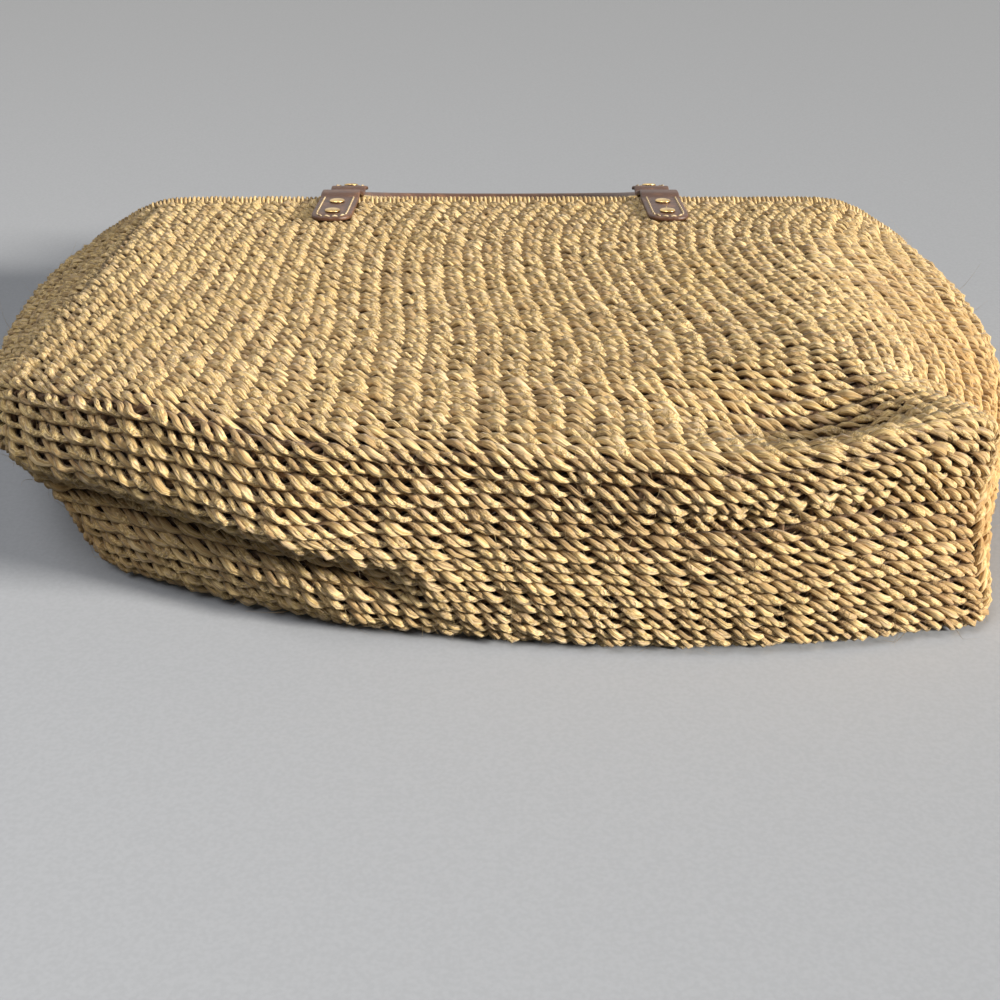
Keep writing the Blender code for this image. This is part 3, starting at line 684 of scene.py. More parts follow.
@dataclass
class Weave:
    """The woven bag: the base, seven lengths of wall courses, the warps and stray fibre ends.

    The form is measured in 32 spaces along the front and 10 along a gusset. The yarn has 36 and
    11 warps there, as their repeat in the photograph shows.
    """

    form: BagForm
    wall: Patch
    base: Patch
    finish: bpy.types.Material
    twining: Twining = field(default_factory=Twining)
    courses_a_length: int = 8
    front_warps: int = 36
    gusset_warps: int = 11
    warp_radius: float = 1.0 * MM
    hairs: int = 3600

    def build(self) -> None:
        """Make every woven piece."""
        lengths = self.form.wall_courses // self.courses_a_length
        for number in range(lengths):
            self.wall_length(number)
        self.base_mat()
        self.warps()
        self.stray_fibres()

    def wall_units(self, warps: np.ndarray) -> np.ndarray:
        """Places round the wall, in the form's spaces, of warps counted from the front's left end."""
        folds = np.cumsum([0, self.front_warps, self.gusset_warps, self.front_warps, self.gusset_warps])
        spaces = np.append(self.form.corner_units[[0, 1, 3, 4]], self.form.warps_round)
        return np.interp(warps, folds, spaces)

    def base_units(self, warps: np.ndarray) -> np.ndarray:
        """Places along the base, in the form's spaces, of warps counted from its left end."""
        return warps * self.form.front_warps / self.front_warps

    @property
    def warps_round(self) -> int:
        """Warps round the whole bag."""
        return 2 * (self.front_warps + self.gusset_warps)

    def wall_length(self, number: int) -> None:
        """The eight courses made from one working length of weft."""
        first = number * self.courses_a_length
        heights = (first + np.arange(self.courses_a_length) + 0.5) * self.form.course_pitch
        units = self.wall_units(np.arange(self.warps_round * self.twining.steps) / self.twining.steps)
        rows, columns = np.meshgrid(heights, units, indexing="ij")
        lay = self.wall.at(rows, columns)
        half = self.form.course_pitch / 2
        above, below = self.wall.at(rows + half, columns)[0], self.wall.at(rows - half, columns)[0]
        pitch = np.linalg.norm(above - below, axis=2) / self.form.course_pitch
        skin = self.twining.plies(lay, np.clip(pitch, 0.85, 1.3), True, 11 + number)
        name = f"{first + 1:02d}_to_{first + self.courses_a_length:02d}"
        piece = skin.piece(f"weft_of_courses_{name}", self.finish, Body.BAG, Slot.SISAL)
        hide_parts(f"wall_courses_{name}")

    def base_mat(self) -> None:
        """The sixteen courses of the base, from the front fold down to the back one."""
        rows = np.arange(self.form.base_courses) + 0.5
        units = self.base_units(np.arange(self.front_warps * self.twining.steps + 1) / self.twining.steps)
        rows, columns = np.meshgrid(rows, units, indexing="ij")
        lay = self.base.at(rows, columns)
        above, below = self.base.at(rows - 0.5, columns)[0], self.base.at(rows + 0.5, columns)[0]
        pitch = np.linalg.norm(above - below, axis=2) / self.form.course_pitch
        skin = self.twining.plies(lay, np.clip(pitch, 0.8, 1.35), False, 5)
        piece = skin.piece("weft_of_base", self.finish, Body.BAG, Slot.SISAL)
        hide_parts("base_weave")

    def warps(self) -> None:
        """Warps inside the courses: plain cords up the wall and across the base."""
        heights = np.linspace(0.5, self.form.wall_courses - 0.2, 113) * self.form.course_pitch
        columns, rows = np.meshgrid(self.wall_units(np.arange(self.warps_round)), heights, indexing="ij")
        skin = self.cords(self.wall.at(rows, columns), 21)
        rows = np.linspace(0.3, self.form.base_courses - 0.3, 65)
        columns, rows = np.meshgrid(self.base_units(np.arange(1, self.front_warps)), rows, indexing="ij")
        skin = skin.joined(self.cords(self.base.at(rows, columns), 22))
        skin.piece("warps", self.finish, Body.BAG, Slot.SISAL)

    def cords(self, lay: tuple[np.ndarray, ...], seed: int) -> Skin:
        """Plain cords along the middle of the weave, by warp and step."""
        face, normals, _ = lay
        middle = face - self.twining.depth * normals
        radius = np.full(middle.shape[:2], self.warp_radius)
        skin = tubes(middle, normals, radius, 6, False)
        tone = np.random.default_rng(seed).uniform(0, 1, (len(middle), 1))
        skin.marks["tone"] = spread(np.broadcast_to(tone, radius.shape), 6)
        # a crest of -0.4 paints the warps fully in the finish's dark depth colour: painted shade inside the weave
        skin.marks["crest"] = np.full(len(skin.points), -0.4)
        skin.marks["lean"] = np.zeros(len(skin.points))
        skin.marks["warm"] = np.zeros(len(skin.points))
        return skin

    def stray_fibres(self) -> None:
        """Fine fibre ends that stand out of the yarn.

        Each is a curve: its root, plus its length times the step along one direction near the
        face, plus the step's square times a bend.
        """
        rng = np.random.default_rng(31)
        rows = rng.uniform(0.5, self.form.wall_courses - 0.5, self.hairs) * self.form.course_pitch
        walls = self.wall.at(rows, rng.uniform(0, self.form.warps_round, self.hairs))
        few = self.hairs // 3
        bases = self.base.at(
            rng.uniform(0.5, self.form.base_courses - 0.5, few), rng.uniform(0.5, self.form.front_warps - 0.5, few)
        )
        face, normals, rises = (np.concatenate(pair) for pair in zip(walls, bases))
        across = np.cross(normals, rises)
        many = len(face)
        angle = rng.normal(-0.5, 0.8, many)[:, None]
        angle = angle + math.pi * rng.integers(0, 2, (many, 1))
        run = np.cos(angle) * across + np.sin(angle) * rises + rng.uniform(-0.1, 0.55, (many, 1)) * normals
        bend = rng.normal(0, 0.35, (many, 1)) * across + rng.normal(0, 0.35, (many, 1)) * rises
        bend = bend - rng.uniform(0, 0.35, (many, 1)) * normals
        length = (2.5 * MM + rng.gamma(1.6, 2.6 * MM, (many, 1, 1)))
        length = np.minimum(length, 26 * MM)
        step = np.linspace(0, 1, 6)[None, :, None]
        root = face + rng.uniform(-0.4, 0.5, (many, 1)) * MM * normals
        paths = root[:, None] + length * (step * unit(run)[:, None] + step ** 2 * bend[:, None])
        paths[..., 2] = np.maximum(paths[..., 2], 0.2 * MM)
        radius = rng.uniform(0.05, 0.11, (many, 1)) * MM * (1.1 - np.linspace(0, 1, 6)[None, :])
        skin = tubes(paths, np.broadcast_to(normals[:, None], paths.shape), radius, 3, False)
        skin.marks["tone"] = spread(np.broadcast_to(rng.uniform(0.4, 1, (many, 1)), radius.shape), 3)
        skin.marks["crest"] = np.ones(len(skin.points))
        skin.marks["lean"] = np.ones(len(skin.points))
        skin.marks["warm"] = np.zeros(len(skin.points))
        skin.piece("stray_fibres", self.finish, Body.BAG, Slot.SISAL)


# ---- rim, leather and metal ----------------------------------------------------------------


@dataclass
class RimBinding:
    """The bound rim: the warp ends turned over as a core, and a sisal cord wound tightly round it."""

    form: BagForm
    wall: Patch
    finish: bpy.types.Material
    diameter: float = 8.0 * MM
    cord: float = 0.78 * MM
    turns: int = 412
    steps: int = 12
    core_sides: int = 10
    cord_sides: int = 6

    def build(self) -> None:
        """Make the rim.

        The cord's middle line stands off the rim's by the rim's radius less the cord's, times
        the cosine of the winding's angle along the outward direction and the sine across it.
        """
        count = self.turns * self.steps
        units = self.form.warps_round * np.arange(count) / count
        face, normals, _ = self.wall.at(np.full(count, self.form.wall_height), units)
        middle = face - self.form.thickness / 2 * normals
        middle = middle + (0, self.form.gap / 2 + self.diameter / 2, 0)
        along = slope_of(middle, True)
        side = unit(np.cross(along, normals))
        out = np.cross(side, along)

        rng = np.random.default_rng(41)
        loose = 0.5 * wander(rng, 1, self.turns, self.steps, True)[0]
        angle = 2 * math.pi * np.arange(count) / self.steps + loose
        radial = np.cos(angle)[:, None] * out + np.sin(angle)[:, None] * side
        stand = self.diameter / 2 - self.cord + 0.12 * MM * wander(rng, 1, self.turns, self.steps, True)[0]
        cord = middle + stand[:, None] * radial
        radius = self.cord * (1 + 0.12 * wander(rng, 1, self.turns // 2, 2 * self.steps, True))
        uneven = 0.14 * wander(rng, self.cord_sides, count // 4, 4, True).T[None]
        winding = tubes(cord[None], radial[None], radius, self.cord_sides, True, uneven)
        tone = 0.5 + 0.5 * wander(rng, 1, self.turns, self.steps, True)
        self.finished(winding, spread(tone, self.cord_sides), 0.75).piece(
            "rim_winding", self.finish, Body.BAG, Slot.SISAL
        )
        core_step = self.steps
        core = tubes(
            middle[None, ::core_step], out[None, ::core_step],
            np.full((1, self.turns), self.diameter / 2 - 1.4 * self.cord), self.core_sides, True,
        )
        # tone 0.3 and crest 0.1 darken the core towards the depth colour: painted shade under the winding
        rim = self.finished(core, np.full(len(core.points), 0.3), 0.1)
        rim = rim.piece("rim_core", self.finish, Body.BAG, Slot.SISAL)
        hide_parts("rim_binding")

    @staticmethod
    def finished(skin: Skin, tone: np.ndarray, crest: float) -> Skin:
        """The skin with the marks that the sisal finish reads."""
        count = len(skin.points)
        skin.marks.update(tone=tone, crest=np.full(count, crest), lean=np.ones(count), warm=np.zeros(count))
        return skin


@dataclass(frozen=True)
class Place:
    """Frame of a piece: its origin, and the directions along it and off its face."""

    origin: np.ndarray
    along: np.ndarray
    off: np.ndarray

    def at(self, along: np.ndarray, off: np.ndarray, over: np.ndarray) -> np.ndarray:
        """Points at distances along, off and across the frame."""
        across = np.cross(self.off, self.along)
        parts = np.broadcast_arrays(along, off, over)
        return self.origin + sum(
            part[..., None] * way for part, way in zip(parts, (self.along, self.off, across))
        )

    def moved(self, along: float = 0.0, over: float = 0.0) -> "Place":
        """The same frame further along or across."""
        return Place(self.at(np.array(along), np.array(0.0), np.array(over)), self.along, self.off)


@dataclass(frozen=True)
class Strap:
    """Leather strap folded double over a bar, with rounded tips and a row of stitches near its edge."""

    width: float
    leather: float
    bar: float
    places: tuple[float, ...]
    offsets: tuple[float, ...]
    sewn: float
    edge: float = 0.7 * MM
    tip_power: float = 2.6
    tip_share: float = 0.7
    inset: float = 2.3 * MM
    pitch: float = 3.6 * MM
    thread: float = 0.40 * MM

    def offset(self, along: np.ndarray) -> np.ndarray:
        """Distance of the leather's middle from the strap's middle plane."""
        return run_through(along, self.places, self.offsets)

    def half_width(self, along: np.ndarray, inset: float = 0.0) -> np.ndarray:
        """Half the width, drawn in by an inset: a superellipse at the tip, then constant."""
        half = self.width / 2 - inset
        short = np.clip(1 - (along - inset) / half, 0, 1)
        return half * (1 - short ** self.tip_power) ** (1 / self.tip_power)

    def half_leather(self, along: np.ndarray) -> np.ndarray:
        """Half the leather's thickness, pared down towards the tips."""
        return self.leather / 2 * (self.tip_share + (1 - self.tip_share) * ease(2 * along / self.width))

    def leather_skin(self, place: Place) -> Skin:
        """The strap: a rounded oblong section carried up one leg, round the bar and down the other.

        Each corner of the section is an arc of four points round a centre that lies in from the
        edges by the arc's radius.
        """
        tip = self.width / 2
        near = tip * (1 - np.cos(np.linspace(0.08, math.pi / 2, 14)))
        leg = np.concatenate([near, np.linspace(tip, self.bar, 44)[1:]])
        turn = np.linspace(math.pi / 2, -math.pi / 2, 13)[1:-1]
        fold = self.offsets[-1]
        along = np.concatenate([leg, self.bar + fold * np.cos(turn), leg[::-1]])
        off = np.concatenate([self.offset(leg), fold * np.sin(turn), -self.offset(leg[::-1])])
        run = slope_of(np.stack([along, off], -1), False)
        from_tip = np.minimum(along, self.bar)
        half, thick = self.half_width(from_tip), self.half_leather(from_tip)
        corner = np.minimum(self.edge, 0.9 * np.minimum(half, thick))[:, None]
        angle = math.pi / 6 * np.arange(12)
        angle = (angle.reshape(4, 3)[:, [0, 1, 2, 2]] + np.array([0, 0, 0, math.pi / 6])).ravel()
        signs = np.repeat([[1, 1], [-1, 1], [-1, -1], [1, -1]], 4, axis=0).T
        over = signs[0] * (half[:, None] - corner) + corner * np.cos(angle)
        up = signs[1] * (thick[:, None] - corner) + corner * np.sin(angle)
        points = place.at(along[:, None] - run[:, 1:] * up, off[:, None] + run[:, :1] * up, over)
        edge = np.abs(over) / np.maximum(half[:, None], 1e-9)
        return wrapped(points[None], False, {"edge": edge.ravel()})

    def stitches(self, place: Place) -> Skin:
        """Saddle stitches along the edges and round the tip, on the outer faces of both legs.

        Each stitch is a short tube whose middle stands above the leather by half a sine wave.
        """
        half = self.width / 2 - self.inset
        turn = np.linspace(0, math.pi / 2, 40)
        along = np.append(self.inset + half * (1 - np.cos(turn)), self.sewn)
        over = self.half_width(along, self.inset)
        line = np.stack([np.append(along[::-1], along[1:]), np.append(-over[::-1], over[1:])], -1)
        length = np.linalg.norm(np.diff(line, axis=0), axis=1).sum()
        count = round(length / self.pitch)
        step = np.linspace(-0.36, 0.36, 6)
        spots = evenly(line, ((np.arange(count)[:, None] + 0.5 + step) / count).ravel())
        run, side = spots.reshape(count, len(step), 2).transpose(2, 0, 1)
        above = self.thread * (1.7 * np.cos(step * math.pi / 0.76) - 0.9)
        paths, outs = [], []
        for sign in (1, -1):
            face = sign * (self.offset(run) + self.half_leather(run) + above)
            paths.append(place.at(run, face, side))
            outs.append(np.broadcast_to(sign * place.off, paths[-1].shape))
        paths, outs = np.concatenate(paths), np.concatenate(outs)
        return tubes(paths, outs, np.full(paths.shape[:2], self.thread), 6, False)


@dataclass(frozen=True)
class Rivet:
    """Brass rivet with a domed head on both faces of the leather."""

    half_grip: float
    head: float = 3.5 * MM
    height: float = 1.1 * MM
    shank: float = 1.5 * MM
    clearance: float = 0.3 * MM
    sides: int = 32

    def skin(self, place: Place) -> Skin:
        """The rivet turned about the frame's off direction: half an ellipse over a short rim, twice."""
        under = self.half_grip + self.clearance
        share = np.linspace(0.05, 1, 10)
        rim = under + 0.35 * self.height
        radius = np.concatenate([self.head * share, self.head * np.array([1, 0.97]), [self.shank]])
        height = np.concatenate([
            rim + 0.65 * self.height * np.sqrt(1 - share ** 2), [under + 0.06 * self.height, under], [under],
        ])
        radius = np.concatenate([radius, radius[::-1]])[:, None]
        height = np.concatenate([height, -height[::-1]])[:, None]
        angle = 2 * math.pi * np.arange(self.sides) / self.sides
        points = place.at(radius * np.sin(angle), height, radius * np.cos(angle))
        return wrapped(points[None], False, {})


@dataclass(frozen=True)
class Ring:
    """Brass ring bent from round wire to an oblong with rounded corners."""

    width: float = 24.0 * MM
    length: float = 13.0 * MM
    corner: float = 4.0 * MM
    wire: float = 1.5 * MM
    steps: int = 120
    sides: int = 18

    def skin(self, place: Place) -> Skin:
        """The ring in the plane of the frame's along and across directions, from the bar outward."""
        turn = math.pi / 2 * (np.arange(4)[:, None] + np.linspace(0, 1, 10))
        centre = np.array([[1, 1], [-1, 1], [-1, 0], [1, 0]])
        over = centre[:, :1] * (self.width / 2 - self.corner) + self.corner * np.cos(turn)
        inset = np.where(centre[:, 1:] == 1, self.length - self.corner, self.corner)
        along = inset + self.corner * np.sin(turn)
        line = np.stack([along.ravel(), over.ravel()], -1)
        line = evenly(np.vstack([line, line[:1]]), np.arange(self.steps) / self.steps)
        paths = place.at(line[:, 0], np.zeros(self.steps), line[:, 1])[None]
        outs = np.broadcast_to(place.off, paths.shape)
        return tubes(paths, outs, np.full((1, self.steps), self.wire), self.sides, True)


@dataclass(frozen=True)
class Roll:
    """Rolled leather handle: two straight stretches and half a circle, sewn shut along its inner side."""

    half_spread: float = 75.0 * MM
    start: float = 7.3 * MM
    straight: float = 62.0 * MM
    radius: float = 4.5 * MM
    steps: int = 260
    sides: int = 28
    seam: float = 0.10
    seam_spread: float = 0.26
    pitch: float = 3.5 * MM
    thread: float = 0.42 * MM

    def line(self, shares: np.ndarray) -> tuple[np.ndarray, np.ndarray]:
        """Points of the middle line and directions to its inner side, in the handle's plane."""
        turn = np.linspace(0, math.pi, 181)
        along = np.concatenate([[self.start], self.straight + self.half_spread * np.sin(turn), [self.start]])
        over = np.concatenate([[-self.half_spread], -self.half_spread * np.cos(turn), [self.half_spread]])
        spots = evenly(np.stack([along, over], -1), shares)
        run = slope_of(spots, False)
        return spots, np.stack([-run[:, 1], run[:, 0]], -1)

    def leather_skin(self, place: Place) -> Skin:
        """The roll, with its seam as a low ridge: a round hill added to the radius on the inner side."""
        spots, inner = self.line(np.linspace(0, 1, self.steps))
        angle = 2 * math.pi * np.arange(self.sides) / self.sides
        angle = np.minimum(angle, 2 * math.pi - angle)
        rng = np.random.default_rng(51)
        uneven = self.seam * hill(angle, 0, self.seam_spread)
        uneven = uneven + 0.012 * wander(rng, self.sides, self.steps // 10, 10, True).T[None]
        paths = place.at(spots[:, 0], np.zeros(self.steps), spots[:, 1])[None]
        outs = (place.at(inner[:, 0], np.zeros(self.steps), inner[:, 1]) - place.origin)[None]
        skin = tubes(paths, outs, np.full((1, self.steps), self.radius), self.sides, False, uneven)
        skin.marks["edge"] = np.tile(0.9 * hill(angle, 0, self.seam_spread), self.steps)
        return skin

    def stitches(self, place: Place) -> Skin:
        """Slanted stitches over the seam: each runs round the roll by an angle while it moves along."""
        length = 2 * (self.straight - self.start) + math.pi * self.half_spread
        count = round(length / self.pitch)
        step = np.linspace(-1, 1, 7)
        shares = (np.arange(count)[:, None] + 0.5 + 0.22 * step) / count
        keep = (shares.mean(axis=1) * length > 21 * MM) & (shares.mean(axis=1) * length < length - 21 * MM)
        shares = shares[keep]
        spots, inner = self.line(shares.ravel())
        spots, inner = spots.reshape(*shares.shape, 2), inner.reshape(*shares.shape, 2)
        angle = 0.62 * step
        stand = self.radius * (1 + self.seam * hill(angle, 0, self.seam_spread))
        stand = stand + self.thread * (1.5 * np.cos(step * math.pi / 2) - 0.8)
        reach = stand * np.cos(angle)
        paths = place.at(
            spots[..., 0] + inner[..., 0] * reach, stand * np.sin(angle), spots[..., 1] + inner[..., 1] * reach,
        )
        outs = np.broadcast_to(place.off, paths.shape)
        return tubes(paths, outs, np.full(paths.shape[:2], self.thread), 6, False)


@dataclass(frozen=True)
class Finishes:
    """Materials of the leather, metal and thread."""

    leather: bpy.types.Material
    brass: bpy.types.Material
    thread: bpy.types.Material


@dataclass
class Carrier:
    """Carrying gear of one wall: two chapes over the rim, two rings, and a handle with its two tabs."""

    form: BagForm
    side: Side
    finishes: Finishes
    half_spread: float = 75.0 * MM
    leg: float = 44.0 * MM
    chape: Strap = Strap(
        18.0 * MM, 2.2 * MM, 62.3 * MM, (40.0 * MM, 46.3 * MM, 50.3 * MM, 62.3 * MM),
        (4.2 * MM, 5.6 * MM, 5.6 * MM, 2.9 * MM), 41.0 * MM,
    )
    chape_rivets: tuple = (("upper", 31.0 * MM), ("lower", 11.0 * MM))
    tab: Strap = Strap(17.0 * MM, 1.8 * MM, 27.0 * MM, (18.5 * MM, 27.0 * MM), (5.7 * MM, 2.7 * MM), 17.5 * MM)
    tab_rivet: float = 8.0 * MM

    def build(self) -> None:
        """Make the pieces of the wall, of the rings and of the handle."""
        self.build_chapes()
        self.build_rings()
        self.build_handle()

    def joint(self, part: str) -> np.ndarray:
        """Middle of a joint's axis."""
        name = f"{self.side.value}_{part}_swing"
        return np.array(next(joint["pos_m"] for joint in frame["joints"] if joint["name"] == name))

    def off(self, along: np.ndarray) -> np.ndarray:
        """Direction out of the bag, square to a direction up its wall."""
        out = np.cross((1.0, 0.0, 0.0), along)
        return out if self.side is Side.FRONT else -out

    def wall_direction(self) -> np.ndarray:
        """Direction up the wall between the chapes' feet and the mouth, the mean of both hands."""
        form = self.form
        lines = form.wall_lines(form.wall_height - np.array([self.leg, 0.0]))
        if self.side is Side.FRONT:
            lines = lines[:, : form.front_warps * form.fine_steps]
        else:
            first = int(form.corner_units[3]) * form.fine_steps
            lines = lines[:, first: first + form.front_warps * form.fine_steps][:, ::-1]
        spots = [form.moved[0] + hand * self.half_spread for _, hand in HANDS]
        foot, head = (
            np.mean([[0, np.interp(x, line[:, 0], line[:, 1]), np.interp(x, line[:, 0], line[:, 2])] for x in spots], 0)
            for line in lines
        )
        return unit(head - foot)

    def hand_places(self, origin: np.ndarray, along: np.ndarray, off: np.ndarray) -> list[tuple[str, Place]]:
        """Name of each hand and its frame."""
        return [
            (name, Place(origin + np.array([hand * self.half_spread, 0, 0]), along, off)) for name, hand in HANDS
        ]

    def build_chapes(self) -> None:
        """The two chapes with their stitches and rivets."""
        along = self.wall_direction()
        origin = self.joint("ring") - along * self.chape.bar
        half_grip = self.chape.offsets[0] + self.chape.leather / 2
        sewing = []
        for hand, place in self.hand_places(origin, along, self.off(along)):
            node = f"{self.side.value}_chape_{hand}"
            piece = self.chape.leather_skin(place).piece(f"{node}_leather", self.finishes.leather, Body.BAG, Slot.LEATHER)
            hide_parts(node)
            sewing.append(self.chape.stitches(place))
            for row, reach in self.chape_rivets:
                self.rivet(f"{node}_rivet_{row}", half_grip, place.moved(reach), Body.BAG)
        sewing[0].joined(sewing[1]).piece(
            f"{self.side.value}_chape_stitches", self.finishes.thread, Body.BAG, Slot.SISAL
        )

    def rivet(self, node: str, half_grip: float, place: Place, body: Body) -> None:
        """One rivet in place of its node."""
        piece = Rivet(half_grip).skin(place).piece(f"{node}_brass", self.finishes.brass, body, Slot.BRASS)
        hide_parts(node)

    def handle_direction(self) -> np.ndarray:
        """Direction from the rings' axis to the handle's."""
        return unit(self.joint("handle") - self.joint("ring"))

    def build_rings(self) -> None:
        """The two rings."""
        along = self.handle_direction()
        body = Body(f"{self.side.value}_rings")
        for hand, place in self.hand_places(self.joint("ring"), along, np.cross((1.0, 0.0, 0.0), along)):
            node = f"{self.side.value}_ring_{hand}"
            piece = Ring().skin(place).piece(f"{node}_brass", self.finishes.brass, body, Slot.BRASS)
            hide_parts(node)

    def build_handle(self) -> None:
        """The rolled handle and its two tabs, with their stitches and rivets."""
        along = self.handle_direction()
        off = np.cross((1.0, 0.0, 0.0), along)
        body = Body(f"{self.side.value}_handle")
        axis = self.joint("handle")
        roll, place = Roll(), Place(axis, along, off)
        node = f"{self.side.value}_handle_roll"
        piece = roll.leather_skin(place).piece(f"{node}_leather", self.finishes.leather, body, Slot.LEATHER)
        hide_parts(node)
        sewing = roll.stitches(place)
        half_grip = self.tab.offsets[0] + self.tab.leather / 2
        for hand, place in self.hand_places(axis + along * self.tab.bar, -along, off):
            node = f"{self.side.value}_tab_{hand}"
            piece = self.tab.leather_skin(place).piece(f"{node}_leather", self.finishes.leather, body, Slot.LEATHER)
            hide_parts(node)
            sewing = sewing.joined(self.tab.stitches(place))
            self.rivet(f"{node}_rivet", half_grip, place.moved(self.tab_rivet), body)
        sewing.piece(f"{self.side.value}_handle_stitches", self.finishes.thread, body, Slot.SISAL)




# ---- finishes -----------------------------------------------------------------------------


@dataclass
class Web:
    """Node tree under construction."""

    tree: bpy.types.NodeTree

    def add(self, kind: str, inputs: dict | None = None, **settings: object) -> bpy.types.Node:
        """Node of a kind, with values or links on its inputs and settings on itself.

        Args:
            kind: Blender's name of the node type.
            inputs: Value or output socket by the input's name or number.
            settings: Attributes of the node.

        Returns:
            The new node.
        """
        node = self.tree.nodes.new(kind)
        for name, value in settings.items():
            setattr(node, name, value)
        for key, value in (inputs or {}).items():
            if isinstance(value, bpy.types.NodeSocket):
                self.tree.links.new(value, node.inputs[key])
            else:
                node.inputs[key].default_value = value
        return node

    def math(self, operation: str, *values: object) -> bpy.types.NodeSocket:
        """Result of a sum of the values, held to 0 to 1."""
        node = self.add("ShaderNodeMath", dict(enumerate(values)), operation=operation, use_clamp=True)
        return node.outputs[0]

    def mix(self, share: object, low: object, high: object, blend: str = "MIX") -> bpy.types.NodeSocket:
        """Colour between two colours by a share."""
        node = self.add("ShaderNodeMix", {0: share, 6: low, 7: high}, data_type="RGBA", blend_type=blend)
        return node.outputs[2]

    def steps(self, value: object, low: float, high: float) -> bpy.types.NodeSocket:
        """Smooth step of a value between two limits."""
        node = self.add("ShaderNodeMapRange", {0: value, 1: low, 2: high}, interpolation_type="SMOOTHSTEP")
        return node.outputs[0]

    def noise(self, vector: object, scale: float, detail: float = 2.0) -> bpy.types.NodeSocket:
        """Noise over a vector."""
        node = self.add("ShaderNodeTexNoise", {"Vector": vector, "Scale": scale, "Detail": detail})
        return node.outputs["Fac"]

    def mark(self, name: str) -> bpy.types.Node:
        """Attribute that the mesh carries."""
        return self.add("ShaderNodeAttribute", attribute_name=name)


def new_group(name: str, takes: dict[str, str], gives: dict[str, str]) -> tuple[bpy.types.NodeTree, Web, dict]:
    """Empty shader group.

    Args:
        name: The group's name.
        takes: Socket type by input name.
        gives: Socket type by output name.

    Returns:
        The group, its web, and its input sockets by name.
    """
    group = bpy.data.node_groups.new(name, "ShaderNodeTree")
    for socket, kind in takes.items():
        group.interface.new_socket(socket, in_out="INPUT", socket_type=kind)
    for socket, kind in gives.items():
        group.interface.new_socket(socket, in_out="OUTPUT", socket_type=kind)
    web = Web(group)
    entry = web.add("NodeGroupInput")
    return group, web, {socket: entry.outputs[socket] for socket in takes}


def fibre_group() -> bpy.types.NodeTree:
    """Group "fibres": streaks along a yarn, from its thread mark, drawn out along its length."""
    group, web, takes = new_group(
        "fibres", {"Thread": "NodeSocketVector", "Shift": "NodeSocketFloat", "Fineness": "NodeSocketFloat"},
        {"Streak": "NodeSocketFloat", "Strand": "NodeSocketFloat"},
    )
    split = web.add("ShaderNodeSeparateXYZ", {0: takes["Thread"]})
    run = web.add("ShaderNodeMath", {0: split.outputs[0], 1: 170.0}, operation="MULTIPLY").outputs[0]
    run = web.add("ShaderNodeMath", {0: takes["Shift"], 1: 37.0, 2: run}, operation="MULTIPLY_ADD").outputs[0]
    round_yarn = [
        web.add("ShaderNodeMath", {0: split.outputs[axis], 1: takes["Fineness"]}, operation="MULTIPLY").outputs[0]
        for axis in (1, 2)
    ]
    place = web.add("ShaderNodeCombineXYZ", {0: run, 1: round_yarn[0], 2: round_yarn[1]}).outputs[0]
    streak = web.noise(place, 1.0, 3.0)
    strand = web.noise(place, 0.35, 1.0)
    exit_node = web.add("NodeGroupOutput", {"Streak": streak, "Strand": strand})
    exit_node.name = "out"
    return group


def grime_group() -> bpy.types.NodeTree:
    """Group "grime": soft uneven patches over an object, from its Object coordinates."""
    group, web, takes = new_group(
        "grime", {"Place": "NodeSocketVector", "Size": "NodeSocketFloat"}, {"Patches": "NodeSocketFloat"},
    )
    scale = web.add("ShaderNodeMath", {0: 1.0, 1: takes["Size"]}, operation="DIVIDE").outputs[0]
    patches = web.noise(takes["Place"], scale, 3.0)
    web.add("NodeGroupOutput", {"Patches": web.steps(patches, 0.35, 0.68)})
    return group


def finish_tree(name: str, roughness: float, metallic: float = 0.0) -> tuple[bpy.types.Material, Web, bpy.types.Node]:
    """Material with its web and its Principled shader, which carries the plain values."""
    material = bpy.data.materials.new(name)
    material.use_nodes = True
    shader = material.node_tree.nodes["Principled BSDF"]
    shader.inputs["Roughness"].default_value = roughness
    shader.inputs["Metallic"].default_value = metallic
    return material, Web(material.node_tree), shader


